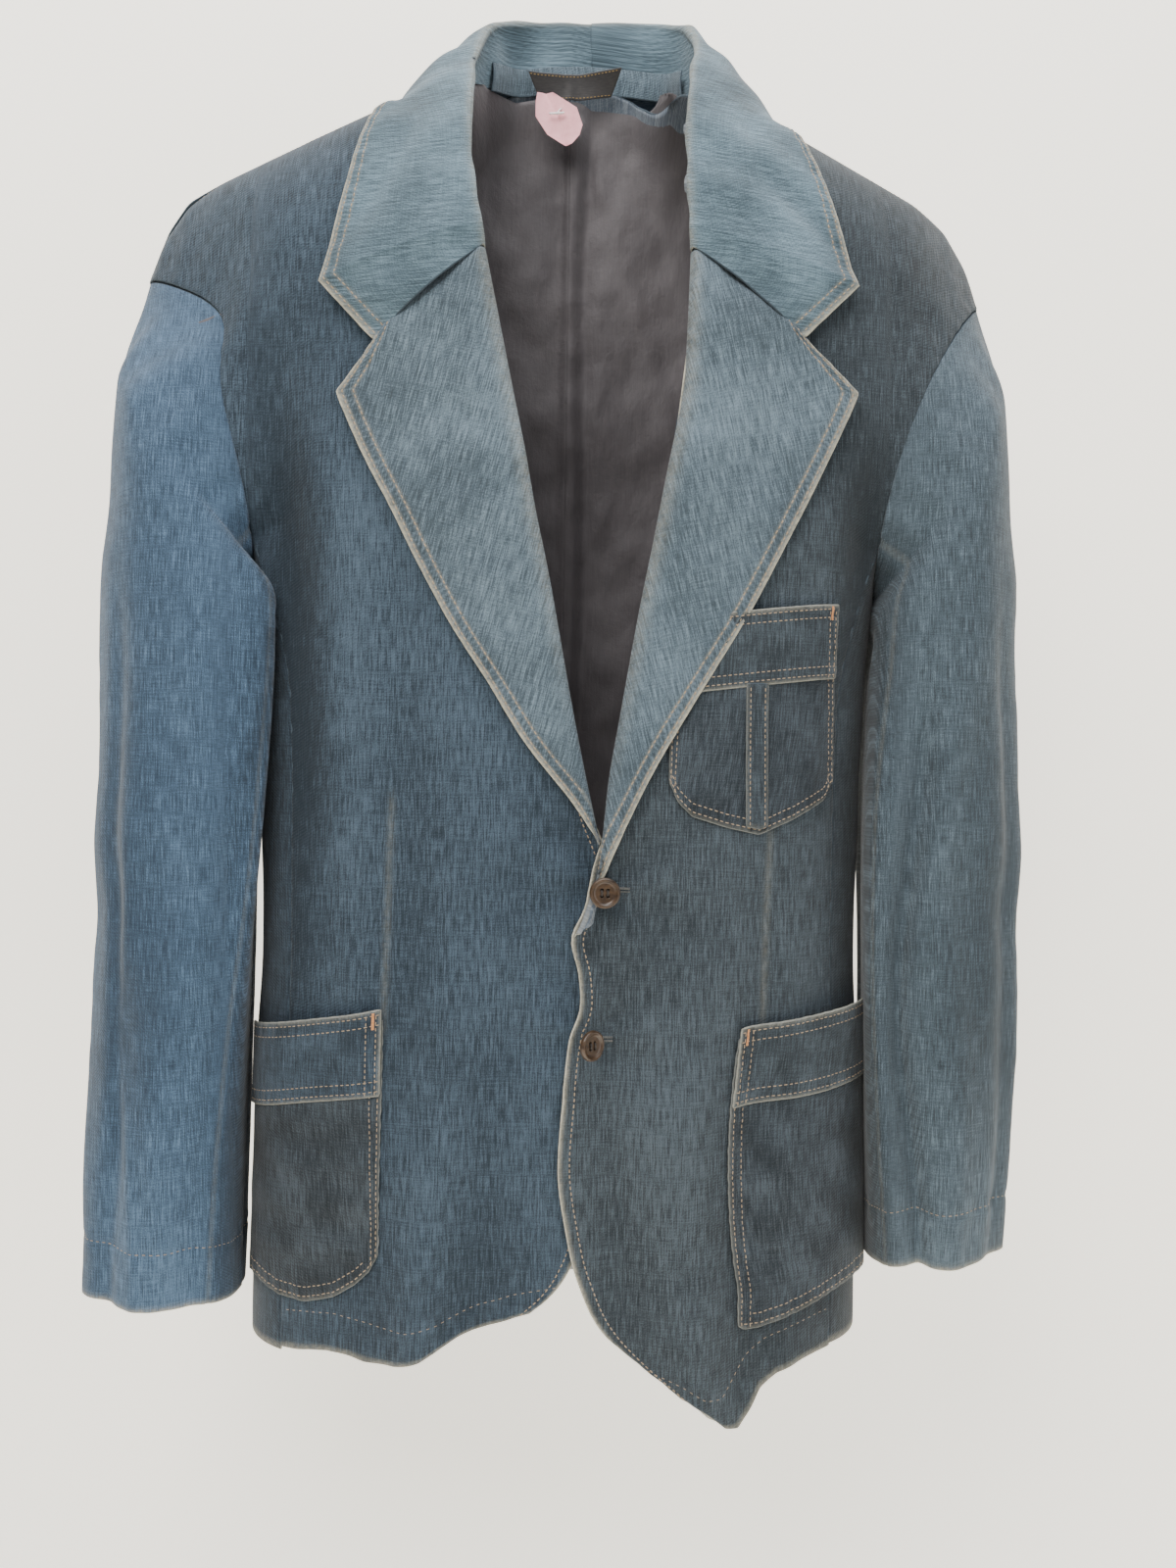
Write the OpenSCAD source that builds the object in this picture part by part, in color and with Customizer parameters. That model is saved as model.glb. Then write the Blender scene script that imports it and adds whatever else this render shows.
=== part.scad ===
/* [Body] */
// half of the body's width at the hem
hem_half_w = 187; // [150:1:210]
// half of the body's width at the waist
waist_half_w = 182; // [145:1:200]
// half of the body's width under the arms
chest_half_w = 185; // [160:1:186]
// how far the front stands out from the middle plane
front_depth = 77; // [60:1:95]
// how far the back stands out from the middle plane
back_depth = 80; // [60:1:100]
// height of the rounding over the shoulders at the back
shoulder_round = 60; // [40:1:80]
// height of the rounding over the shoulders at the front
front_round = 84; // [60:1:100]
// exponent of the rounded section, larger is boxier
squareness = 2.6; // [2:0.1:4]
// sideways shift of the neck opening
neck_shift = 11; // [0:1:20]

/* [Fabric] */
// thickness of the denim with its seams
denim_t = 1.6; // [1.2:0.1:2.4]
// thickness of the lining
lining_t = 0.8; // [0.6:0.1:1.2]
// free gap between two layers of fabric
layer_gap = 1.5; // [1:0.1:2.5]
// gap left at a seam between two panels
seam_gap = 2; // [1.6:0.1:2.5]

/* [Sleeves] */
// height of the cuff below the hanger seat
cuff_drop = 750; // [700:1:780]
// half of the cuff's width seen from the front
cuff_half_w = 41; // [38:1:46]
// half of the cuff's depth
cuff_half_d = 50; // [40:1:56]

/* [Buttons] */
// diameter of a button
button_d = 17; // [15:0.5:20]
// thickness of a button at its rim
button_t = 3.4; // [2.5:0.1:4.5]
// width of the raised rim
button_rim = 2; // [1:0.1:3]
// diameter of a thread hole
button_hole_d = 1.8; // [1.2:0.1:2.4]
// tilt of the lower button about the upright line
lower_tilt = 42; // [0:1:45]

/* [Hidden] */
pad_t = 8;
bag_o = layer_gap + denim_t;
band_o = bag_o + layer_gap + denim_t;
lapel_o = band_o + layer_gap + denim_t;
lap_o = bag_o + 1.2;
lining_o = -denim_t - 2 * layer_gap - denim_t;

// smooth outer form of the garment

function half_w(z) = lookup(z, [
  [-830, hem_half_w], [-560, waist_half_w], [-345, chest_half_w], [-320, 205], [-290, 232],
  [-250, 258], [-200, 275], [-100, 290]
]);

function depth_f(z) = front_depth * lookup(z, [
  [-830, 0.94], [-560, 1.0], [-300, 0.97], [-180, 0.9], [-90, 0.8], [0, 0.76]
]);

function depth_b(z) = back_depth * lookup(z, [
  [-830, 1.0], [-600, 0.92], [-300, 1.0], [-150, 0.92], [0, 0.8]
]);

function shoulder_z(x) = lookup(abs(x), [
  [0, 50], [45, 22], [62, -8], [121, -42], [210, -88], [238, -108], [256, -150]
]);

function rise(x, z, o, r) = (z - o - shoulder_z(x) + r) / r;

function round_v(x, z, o, r, k) = let (t = min(1, max(0, rise(x, z, o, r)))) pow(1 - pow(t, k), 1 / k);

function round_h(x, a) = pow(max(0, 1 - pow(min(1, abs(x) / a), squareness)), 1 / squareness);

function front_y(x, z, o) =
  -(depth_f(z) + o) * round_h(x, half_w(z) + o) * round_v(x, z, o, front_round, 1.9);

function back_y(x, z, o) =
  (depth_b(z) + o) * round_h(x, half_w(z) + o) * round_v(x, z, o, shoulder_round, 2.4);

function lift(x, z, o) = o * pow(min(1, max(0, rise(x, z, 0, shoulder_round))), 2);

function neck_top(x) = abs(x) < 62 ? 14 - 22 * pow(abs(x) / 62, 2) : shoulder_z(x);

// point of a front or back layer, side is -1 for the front and 1 for the back
function skin(x, z, o, side) = let (zz = z + lift(x, z, o))
  [x, side < 0 ? front_y(x, zz, o) : back_y(x, zz, o), zz];

// point round the flank, a is the angle from the front to the back
function flank(s, a, z, o) = let (c = cos(a), w = pow(abs(sin(a)), 2 / squareness))
  [s * (half_w(z) + o) * w,
   -sign(c) * ((c > 0 ? depth_f(z) : depth_b(z)) + o) * pow(abs(c), 2 / squareness), z];

function seam_x(z) = half_w(z) * pow(sin(55.5), 2 / squareness) - seam_gap;

function seam(s, heights) = [for (z = heights) [s * seam_x(z), z]];

function mix(a, b, t) = a + (b - a) * t;

// rows of points between an inner and an outer outline
function sheet_layer(inner, outer, n, o, side) = [
  for (j = [0:len(inner) - 1]) for (i = [0:n])
    let (p = mix(inner[j], outer[j], i / n)) skin(p[0], p[1], o, side)
];

// the same with the top row following the neck and the shoulder seam
function back_layer(inner, outer, n, o, s) = let (m = len(inner) - 1) [
  for (j = [0:m]) for (i = [0:n])
    let (p = mix(inner[j], outer[j], i / n), q = mix(inner[m], outer[m], i / n),
         z = p[1] + (neck_top(q[0]) - q[1]) * pow(max(0, (p[1] + 200) / 200), 2))
    skin(s * p[0], z, o, 1)
];

function flank_layer(s, a0, a1, n, rows, o) = [
  for (z = rows) for (i = [0:n]) flank(s, mix(a0, a1, i / n), z, o)
];

function free_layer(rows, n, o) = [
  for (r = rows) for (i = [0:n]) mix(r[0], r[1], i / n) + o * r[2] + r[3] * sin(180 * i / n) * r[2]
];

function mirrored(points, c) = [for (p = points) [2 * c - p[0], p[1], p[2]]];

function shell_faces(n, m) = let (k = (n + 1) * (m + 1)) [
  for (j = [0:m - 1]) for (i = [0:n - 1])
    let (a = j * (n + 1) + i, b = a + 1, c = a + n + 2, d = a + n + 1)
    each [[a, b, c], [a, c, d], [k + a, k + c, k + b], [k + a, k + d, k + c]],
  for (i = [0:n - 1]) each [[i + 1, i, k + i], [i + 1, k + i, k + i + 1]],
  for (i = [0:n - 1]) let (d = m * (n + 1) + i, c = d + 1) each [[d, c, k + c], [d, k + c, k + d]],
  for (j = [0:m - 1]) let (a = j * (n + 1), d = a + n + 1) each [[a, d, k + d], [a, k + d, k + a]],
  for (j = [0:m - 1]) let (b = j * (n + 1) + n, c = b + n + 1) each [[c, b, k + b], [c, k + b, k + c]]
];

function volume(p, f) = [for (t = f) p[t[0]] * cross(p[t[1]], p[t[2]])] * [for (t = f) 1];

// closed shell between two layers of the same grid
module shell(outer, inner, n) {
  m = len(outer) / (n + 1) - 1;
  points = concat(outer, inner);
  faces = shell_faces(n, m);
  turned = volume(points, faces) > 0;
  polyhedron(points, turned ? [for (t = faces) [t[0], t[2], t[1]]] : faces);
}

// outlines, each listed from the hem upwards as [x, z]

right_edge = [
  [-92, -779], [-20, -752], [10, -715], [26, -670], [30, -600], [30, -520], [14, -460],
  [-4, -372], [-22, -290], [-38, -210], [-50, -140], [-62, -80], [-68, -50], [-70, -28], [-70, -13]
];
right_outer = concat(seam(-1, [-778, -752, -715, -670, -600, -520, -460, -390, -345]), [
  [-203, -290], [-221, -240], [-238, -190], [-251, -152], [-247, -124], [-236, -107]
]);
left_edge = [
  [114, -812], [97, -789], [80, -766], [62, -743], [42, -716], [24, -693], [7, -671],
  [2, -640], [0, -600], [6, -560], [8, -535], [12, -515], [20, -470], [34, -372],
  [48, -290], [60, -210], [70, -140], [76, -80], [78, -50], [79, -32], [79, -18]
];
left_outer = concat(seam(1, [
  -782, -762, -742, -722, -702, -682, -662, -640, -600, -560, -535, -510, -460, -390, -345
]), [[203, -290], [221, -240], [238, -190], [251, -152], [247, -124], [236, -107]]);
corner_edge = [[100, -822], [66, -797], [44, -780], [27, -766], [12, -733], [3, -700], [0, -682]];
corner_fold = [[109, -811], [92, -788], [76, -766], [58, -743], [38, -716], [20, -693], [4, -672]];

lapel_rows_right = [
  [[16, -478], [6, -474]], [[10, -450], [-14, -440]], [[0, -398], [-52, -385]],
  [[-11, -344], [-86, -327]], [[-23, -290], [-110, -282]], [[-34, -236], [-131, -240]],
  [[-44, -190], [-124, -221]], [[-52, -156], [-112, -208]]
];
lapel_rows_left = [
  [[20, -494], [30, -486]], [[24, -450], [62, -422]], [[32, -398], [90, -378]],
  [[40, -344], [120, -322]], [[49, -290], [144, -276]], [[57, -236], [163, -231]],
  [[63, -190], [146, -212]], [[68, -156], [132, -201]]
];

collar_end_rows = [
  [[63, 6, 30], [119, 4, -30], [0.55, 0, 0.83], 4],
  [[64, -20, 14], [127, -26, -54], [0.5, -0.45, 0.73], 6],
  [[64, -44, -14], [134, -56, -84], [0.4, -0.75, 0.5], 7],
  [[63, -62, -55], [147, -70, -124], [0.2, -0.95, 0.25], 5],
  [[61, -72, -108], [157, -75, -160], [0, -1, 0], 6],
  [[60, -78, -146], [126, -80, -199], [0, -1, 0], 3]
];
back_collar_rows = [
  [[-62, 12, 33], [-116, 12, -29], [-0.55, 0.2, 0.8], 4],
  [[-57, 34, 47], [-100, 42, -12], [-0.5, 0.5, 0.7], 4],
  [[-38, 55, 56], [-62, 82, 4], [-0.3, 0.85, 0.42], 4],
  [[0, 63, 60], [0, 92, 8], [0, 0.9, 0.42], 4],
  [[38, 55, 56], [62, 82, 4], [0.3, 0.85, 0.42], 4],
  [[57, 34, 47], [100, 42, -12], [0.5, 0.5, 0.7], 4],
  [[62, 12, 33], [116, 12, -29], [0.55, 0.2, 0.8], 4]
];
stand_rows = [
  [[-56, 14, 28], [-62, 14, 2], [-1, 0.2, 0], 0],
  [[-50, 34, 42], [-56, 40, 6], [-0.8, 0.6, 0], 0],
  [[-32, 50, 50], [-36, 59, 12], [-0.4, 0.92, 0], 0],
  [[0, 57, 54], [0, 63, 17], [0, 1, 0], 0],
  [[32, 50, 50], [36, 59, 12], [0.4, 0.92, 0], 0],
  [[50, 34, 42], [56, 40, 6], [0.8, 0.6, 0], 0],
  [[56, 14, 28], [62, 14, 2], [1, 0.2, 0], 0]
];

// one row per sleeve ring: tilt, underarm x, underarm z, half width, half depth, middle y
sleeve_rings = [
  [70, 192, -334, 96, 57, 0], [58, 192, -337, 73, 65, 0], [44, 191, -341, 55, 70, 0],
  [26, 190, -346, 45, 73, -1], [8, 190, -354, 42, 73, -2], [0, 190, -390, 41, 72, -4],
  [0, 190, -460, 41, 69, -8], [0, 190, -540, 42, 64, -12], [0, 190, -630, 42, 58, -16],
  [0, 190, -700, cuff_half_w + 0.5, cuff_half_d + 3, -18],
  [0, 190, -cuff_drop, cuff_half_w, cuff_half_d, -20]
];

function ring_point(s, r, a, o) = let (e = [cos(r[0]), sin(r[0])], w = r[3] + (r[3] + o) * cos(a))
  [s * (r[1] + 1 + e[0] * w), r[5] + (r[4] + o) * sin(a), r[2] + e[1] * w];

function sleeve_layer(s, a0, a1, n, o) = [
  for (r = sleeve_rings) for (i = [0:n]) ring_point(s, r, mix(a0, a1, i / n), o)
];

function lapel_layer(rows, n, o) = [
  for (r = rows) for (i = [0:n]) let (p = mix(r[0], r[1], i / n)) skin(p[0], p[1], o, -1)
];

module front_sheet(inner, outer, n, o, t) {
  shell(sheet_layer(inner, outer, n, o, -1), sheet_layer(inner, outer, n, o - t, -1), n);
}

module right_front() {
  color("#4f6f92") front_sheet(right_edge, right_outer, 8, 0, denim_t);
}

module left_front() {
  color("#587596") front_sheet(left_edge, left_outer, 8, lap_o, denim_t);
}

module left_front_corner() {
  color("#6d89a8") front_sheet(corner_edge, corner_fold, 5, lap_o, denim_t);
}

flank_rows = [-782, -740, -680, -620, -560, -500, -440, -395, -345];

module side_panel(s) {
  shell(flank_layer(s, 55.5, 125, 8, flank_rows, 0), flank_layer(s, 55.5, 125, 8, flank_rows, -denim_t), 8);
}

module right_side_panel() {
  color("#46658a") side_panel(-1);
}

module left_side_panel() {
  color("#46658a") side_panel(1);
}

back_inner = [
  [0.5, -790], [0.5, -740], [0.5, -680], [0.5, -620], [0.5, -560], [0.5, -500], [0.5, -440],
  [0.5, -395], [0.5, -345], [0.5, -275], [0.5, -215], [0.5, -150], [0.5, -95], [0.5, -45],
  [0.5, -5], [0.5, 10]
];
back_outer = concat([for (z = [-786, -740, -680, -620, -560, -500, -440, -395, -345])
  [half_w(z) * pow(sin(55), 2 / squareness) - seam_gap, z]
], [[203, -290], [221, -240], [238, -190], [251, -152], [248, -128], [243, -117], [237, -107]]);

module back_sheet(s, o, t) {
  shell(back_layer(back_inner, back_outer, 9, o, s), back_layer(back_inner, back_outer, 9, o - t, s), 9);
}

module right_back() {
  color("#3f5f86") back_sheet(-1, 0, denim_t);
}

module left_back() {
  color("#42628a") back_sheet(1, 0, denim_t);
}

// strips of denim behind the front edges
right_facing_outer = [
  [-92, -774], [-70, -748], [-52, -715], [-44, -670], [-42, -600], [-42, -520], [-48, -460],
  [-62, -372], [-78, -290], [-92, -210], [-102, -140]
];
right_facing_inner = [
  [-86, -776], [-22, -750], [6, -715], [22, -670], [26, -600], [26, -520], [10, -460],
  [-8, -372], [-26, -290], [-42, -210], [-54, -140]
];
left_facing_inner = [
  [8, -664], [5, -640], [4, -600], [10, -560], [12, -535], [16, -515], [24, -470],
  [38, -372], [52, -290], [64, -210], [74, -140]
];
left_facing_outer = [
  [66, -715], [64, -680], [62, -620], [60, -570], [60, -535], [62, -515], [68, -470],
  [84, -372], [98, -290], [110, -210], [118, -140]
];

module right_front_facing() {
  color("#5b7897") front_sheet(right_facing_inner, right_facing_outer, 4, -denim_t - layer_gap, denim_t);
}

module left_front_facing() {
  color("#5b7897") front_sheet(left_facing_inner, left_facing_outer, 4, lap_o - denim_t - 0.8, 1);
}

module lapel(rows, o) {
  shell(lapel_layer(rows, 5, o), lapel_layer(rows, 5, o - denim_t), 5);
}

module right_lapel() {
  color("#7590ab") lapel(lapel_rows_right, lapel_o);
}

module left_lapel() {
  color("#7b95ad") lapel(lapel_rows_left, lapel_o + 1.2);
}

module right_collar_end() {
  color("#86a0b5")
    shell(mirrored(free_layer(collar_end_rows, 5, 6), neck_shift / 2),
          mirrored(free_layer(collar_end_rows, 5, 6 - denim_t), neck_shift / 2), 5);
}

module left_collar_end() {
  color("#86a0b5")
    translate([neck_shift / 2, 0, 0])
      shell(free_layer(collar_end_rows, 5, 6), free_layer(collar_end_rows, 5, 6 - denim_t), 5);
}

module back_collar() {
  color("#7f99b0")
    translate([neck_shift / 2, 0, 0])
      shell(free_layer(back_collar_rows, 6, 0), free_layer(back_collar_rows, 6, -denim_t), 6);
}

module collar_stand() {
  color("#52708f")
    translate([neck_shift / 2, 0, 0])
      shell(free_layer(stand_rows, 3, 0), free_layer(stand_rows, 3, -denim_t), 3);
}

module top_sleeve(s) {
  shell(sleeve_layer(s, -108, 108, 12, 0), sleeve_layer(s, -108, 108, 12, -denim_t), 12);
}

module under_sleeve(s) {
  shell(sleeve_layer(s, 109, 251, 8, 0), sleeve_layer(s, 109, 251, 8, -denim_t), 8);
}

module sleeve_lining(s) {
  o = -denim_t - 2;
  shell(sleeve_layer(s, -179, 179, 16, o), sleeve_layer(s, -179, 179, 16, o - lining_t), 16);
}

module right_top_sleeve() {
  color("#5f7fa3") top_sleeve(-1);
}

module right_under_sleeve() {
  color("#4c6c92") under_sleeve(-1);
}

module left_top_sleeve() {
  color("#5f7fa3") top_sleeve(1);
}

module left_under_sleeve() {
  color("#4c6c92") under_sleeve(1);
}

module right_sleeve_lining() {
  color("#3c3a48") sleeve_lining(-1);
}

module left_sleeve_lining() {
  color("#3c3a48") sleeve_lining(1);
}

// patch pockets, wrapped round the flank from the angle a0 to a1
function pocket_layer(s, a0, a1, n, rows, o) = [
  for (r = rows) for (i = [0:n])
    flank(s, mix(mix(a0, a1, r[1]), mix(a1, a0, r[1]), i / n), r[0] + r[2] * (i / n), o)
];

bag_rows = [
  [-758, 0.14, 8], [-745, 0.03, 8], [-720, 0, 8], [-690, 0, 8], [-660, 0, 8], [-641, 0, 8], [-596, 0, 8]
];
band_rows = [[-640, 0, 8], [-626, 0, 8], [-611, 0, 8], [-597, 0, 8]];

module pocket_bag(s, o) {
  shell(pocket_layer(s, 27, 76, 8, bag_rows, o), pocket_layer(s, 27, 76, 8, bag_rows, o - 1.2), 8);
}

module pocket_band(s, o) {
  shell(pocket_layer(s, 27, 76, 8, band_rows, o), pocket_layer(s, 27, 76, 8, band_rows, o - denim_t), 8);
}

module right_pocket_bag() {
  color("#557599") pocket_bag(-1, bag_o);
}

module right_pocket_band() {
  color("#6c8aac") pocket_band(-1, band_o);
}

module left_pocket_bag() {
  color("#557599") pocket_bag(1, bag_o + bag_o);
}

module left_pocket_band() {
  color("#6c8aac") pocket_band(1, bag_o + band_o);
}

breast_o = lap_o + 2.2;
breast_left = [[80, -478], [64, -462], [57, -440], [57, -398], [58, -354]];
breast_right = [[134, -478], [150, -462], [157, -440], [157, -392], [156, -347]];

module breast_pocket_bag() {
  color("#4d6c8e") front_sheet(breast_left, breast_right, 7, breast_o, 1.1);
}

module breast_pocket_band() {
  color("#6686a8")
    front_sheet([[57, -396], [57, -375], [58, -354]], [[157, -390], [157, -368], [156, -347]],
                7, breast_o + 1.8, 1.2);
}

module breast_pocket_strip() {
  color("#7391b0")
    front_sheet([[101, -474], [101, -440], [101, -400]], [[114, -474], [114, -440], [114, -399]],
                2, breast_o + 1.6, 1);
}

lining_front_inner_r = [
  [-54, -752], [-46, -700], [-46, -600], [-46, -520], [-52, -460], [-66, -372], [-82, -290],
  [-96, -210], [-100, -150]
];
lining_front_outer_r = [
  [-140, -752], [-140, -700], [-139, -600], [-139, -520], [-141, -460], [-145, -390], [-154, -335],
  [-196, -255], [-216, -190]
];

module front_lining(s) {
  o = lining_o;
  a = [for (p = lining_front_inner_r) [-s * p[0], p[1]]];
  b = [for (p = lining_front_outer_r) [-s * p[0], p[1]]];
  front_sheet(a, b, 5, o, lining_t);
}

module right_front_lining() {
  color("#45424f") front_lining(-1);
}

module left_front_lining() {
  color("#45424f") front_lining(1);
}

lining_back_inner = [
  [0.5, -770], [0.5, -700], [0.5, -600], [0.5, -500], [0.5, -400], [0.5, -300], [0.5, -215],
  [0.5, -130], [0.5, -60], [0.5, -5]
];
lining_back_outer = [
  [142, -770], [140, -700], [138, -600], [138, -500], [142, -400], [152, -335], [196, -255],
  [216, -190], [208, -140], [160, -80]
];

module back_lining(s) {
  o = lining_o;
  shell(sheet_layer([for (p = lining_back_inner) [s * p[0], p[1]]],
                    [for (p = lining_back_outer) [s * p[0], p[1]]], 7, o, 1),
        sheet_layer([for (p = lining_back_inner) [s * p[0], p[1]]],
                    [for (p = lining_back_outer) [s * p[0], p[1]]], 7, o - lining_t, 1), 7);
}

module right_back_lining() {
  color("#4a4753") back_lining(-1);
}

module left_back_lining() {
  color("#4d4a56") back_lining(1);
}

// crescent pads that lie under the shoulder seams
function pad_layer(s, o) = [
  for (j = [0:5]) for (i = [0:8])
    let (x = 130 + 88 * j / 5, a = -62 + 124 * i / 8)
    [s * x, 34 * sin(a), shoulder_z(x) - 11 - o - 30 * (1 - cos(a))]
];

module shoulder_pad(s) {
  shell(pad_layer(s, 0), pad_layer(s, pad_t), 8);
}

module right_shoulder_pad() {
  color("#c9c2b2") shoulder_pad(-1);
}

module left_shoulder_pad() {
  color("#c9c2b2") shoulder_pad(1);
}

// a four-hole button facing the front, its back face at y = 0
module button() {
  rotate([90, 0, 0])
    difference() {
      cylinder(h = button_t, d = button_d, $fn = 96);
      translate([0, 0, button_t - 1])
        cylinder(h = 2, d = button_d - 2 * button_rim, $fn = 96);
      for (a = [45:90:315])
        rotate([0, 0, a])
          translate([button_d * 0.13, 0, -1])
            cylinder(h = button_t + 2, d = button_hole_d, $fn = 32);
    }
}

module thread(h) {
  rotate([90, 0, 0])
    cylinder(h = h, d = 3, $fn = 48);
}

upper_at = [21, -87.5, -514];
lower_at = [14, -88.5, -598];

module upper_button() {
  color("#5a3c28")
    translate(upper_at)
      button();
}

module upper_button_thread() {
  color("#2c2420")
    translate([upper_at[0], upper_at[1] + 4.6, upper_at[2]])
      thread(4.2);
}

module lower_button() {
  color("#5a3c28")
    translate(lower_at)
      rotate([0, 0, lower_tilt])
        button();
}

module lower_button_thread() {
  color("#2c2420")
    translate([lower_at[0], lower_at[1] + 5.6, lower_at[2]])
      thread(3.8);
}

label_rows = [
  [[-26, 0, 14], [34, 0, 14], [0, -1, 0], 0], [[-24, 0, 8], [32, 0, 8], [0, -1, 0], 0],
  [[-18, 0, 2], [26, 0, 2], [0, -1, 0], 0]
];

module neck_label() {
  color("#1d1b1c")
    translate([0, 52, -14])
      shell(free_layer(label_rows, 6, 0.6), free_layer(label_rows, 6, 0), 6);
}

tag_rows = [
  [[-19, 43, -44], [4, 41, -46], [0, -1, 0], 2], [[-25, 44, -36], [10, 42, -36], [0, -1, 0], 3],
  [[-26, 46, -26], [12, 44, -24], [0, -1, 0], 3], [[-24, 47.5, -12], [4, 46, -18], [0, -1, 0], 2]
];

module paper_tag() {
  color("#f0a6b0")
    shell(free_layer(tag_rows, 6, 0.5), free_layer(tag_rows, 6, 0), 6);
}

module tag_pin() {
  color("#efefec")
    translate([-4, 49.5, -4])
      rotate([-12, 0, 0])
        translate([0, 0, -12])
          cylinder(h = 12, d = 1, $fn = 24);
}

right_front();
left_front();
left_front_corner();
right_side_panel();
left_side_panel();
right_back();
left_back();
right_front_facing();
left_front_facing();
right_lapel();
left_lapel();
right_collar_end();
left_collar_end();
back_collar();
collar_stand();
right_top_sleeve();
right_under_sleeve();
left_top_sleeve();
left_under_sleeve();
right_sleeve_lining();
left_sleeve_lining();
right_pocket_bag();
right_pocket_band();
left_pocket_bag();
left_pocket_band();
breast_pocket_bag();
breast_pocket_band();
breast_pocket_strip();
right_front_lining();
left_front_lining();
right_back_lining();
left_back_lining();
right_shoulder_pad();
left_shoulder_pad();
upper_button();
upper_button_thread();
lower_button();
lower_button_thread();
neck_label();
paper_tag();
tag_pin();
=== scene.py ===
import bpy
import math
import numpy as np
from mathutils import Vector, Matrix, Euler


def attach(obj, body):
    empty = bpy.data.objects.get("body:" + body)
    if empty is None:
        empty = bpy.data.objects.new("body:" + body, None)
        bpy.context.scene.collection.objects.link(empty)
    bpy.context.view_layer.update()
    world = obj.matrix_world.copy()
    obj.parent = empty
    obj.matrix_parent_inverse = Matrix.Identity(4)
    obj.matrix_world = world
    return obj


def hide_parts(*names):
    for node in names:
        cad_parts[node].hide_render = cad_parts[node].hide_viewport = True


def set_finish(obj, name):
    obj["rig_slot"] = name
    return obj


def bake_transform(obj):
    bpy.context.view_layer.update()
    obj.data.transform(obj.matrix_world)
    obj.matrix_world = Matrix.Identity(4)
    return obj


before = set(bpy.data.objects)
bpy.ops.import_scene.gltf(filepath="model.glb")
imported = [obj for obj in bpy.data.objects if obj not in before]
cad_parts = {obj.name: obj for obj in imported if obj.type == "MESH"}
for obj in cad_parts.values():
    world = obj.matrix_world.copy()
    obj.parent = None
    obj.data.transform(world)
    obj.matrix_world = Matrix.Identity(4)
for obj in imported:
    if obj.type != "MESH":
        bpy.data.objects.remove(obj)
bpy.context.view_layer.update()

# ---------------------------------------------------------------- helpers (all lengths in mm)
SIDES = ((-1, "right"), (1, "left"))  # the wearer's sides, with the sign of x
LIFT = {-1: 0.0, 1: 3.6}  # the left front lies over the right one
ROWS = (2.6, 9.0)  # the two rows of topstitching, from the edge
HEM = 22  # hem stitching, from the edge
UV_UP = 900  # keeps the texture height above zero
FAR = 900.0  # an edge distance too far away to pucker


def spline(points, n):
    """n samples of a smooth curve through the points, evenly spaced by point index."""
    p = np.asarray(points, float)
    if p.ndim == 1:
        p = p[:, None]
    m = len(p)
    t = np.linspace(0, m - 1, n)
    i = np.minimum(t.astype(int), m - 2)
    f = (t - i)[:, None]
    p1, p2 = p[i], p[i + 1]
    p0 = np.where((i == 0)[:, None], 2 * p1 - p2, p[np.maximum(i - 1, 0)])
    p3 = np.where((i == m - 2)[:, None], 2 * p2 - p1, p[np.minimum(i + 2, m - 1)])
    out = 0.5 * (2 * p1 + (p2 - p0) * f + (2 * p0 - 5 * p1 + 4 * p2 - p3) * f * f
                 + (3 * p1 - p0 - 3 * p2 + p3) * f ** 3)
    return out


def table(pairs):
    """A smooth one-variable function through (key, value) pairs with rising keys."""
    k = np.array([a for a, _ in pairs], float)
    v = np.array([b for _, b in pairs], float)
    dense = np.linspace(k[0], k[-1], 600)
    val = np.interp(dense, k, v)
    g = np.exp(-np.linspace(-2.5, 2.5, 25) ** 2)
    pad = np.concatenate([np.full(12, val[0]), val, np.full(12, val[-1])])
    val = np.convolve(pad, g / g.sum(), "valid")
    return lambda x: np.interp(x, dense, val)


def smooth(a, b, x):
    t = np.clip((x - a) / (b - a), 0, 1)
    return t * t * (3 - 2 * t)


def bump(x, w):
    return np.exp(-(x / w) ** 2)


def waves(seed, scale, count=14, stretch=(1.0, 1.0)):
    """A smooth random field over two coordinates, about -1 to 1."""
    r = np.random.default_rng(seed)
    ang = r.uniform(0, math.pi, count)
    k = 2 * math.pi / (scale * r.uniform(0.6, 1.7, count))
    ph = r.uniform(0, 2 * math.pi, count)
    kx, ky = k * np.cos(ang) / stretch[0], k * np.sin(ang) / stretch[1]

    def f(x, y):
        s = 0
        for a, b, c in zip(kx, ky, ph):
            s = s + np.sin(a * x + b * y + c)
        return s / math.sqrt(count) * 0.9
    return f


def kernel(n, reach=2):
    """The weights of a short smoothing filter."""
    g = np.exp(-np.linspace(-reach, reach, n) ** 2)
    return g / g.sum()


def unit(v):
    return v / np.maximum(np.linalg.norm(v, axis=-1, keepdims=True), 1e-9)


def normals(P, wrap=False):
    if wrap:
        du = np.roll(P, -1, 1) - np.roll(P, 1, 1)
    else:
        du = np.gradient(P, axis=1)
    dv = np.gradient(P, axis=0)
    return unit(np.cross(du, dv)), unit(du), unit(dv)


def faced(P, sign):
    """A grid's normals, turned to face along y in the direction of sign."""
    N, _, _ = normals(P)
    return -N if np.mean(N[..., 1]) * sign < 0 else N


def arc(P, axis):
    """Running length along a grid axis, in mm."""
    d = np.linalg.norm(np.diff(P, axis=axis), axis=-1)
    d = np.concatenate([np.zeros_like(np.take(d, [0], axis)), d], axis)
    return np.cumsum(d, axis)


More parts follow.
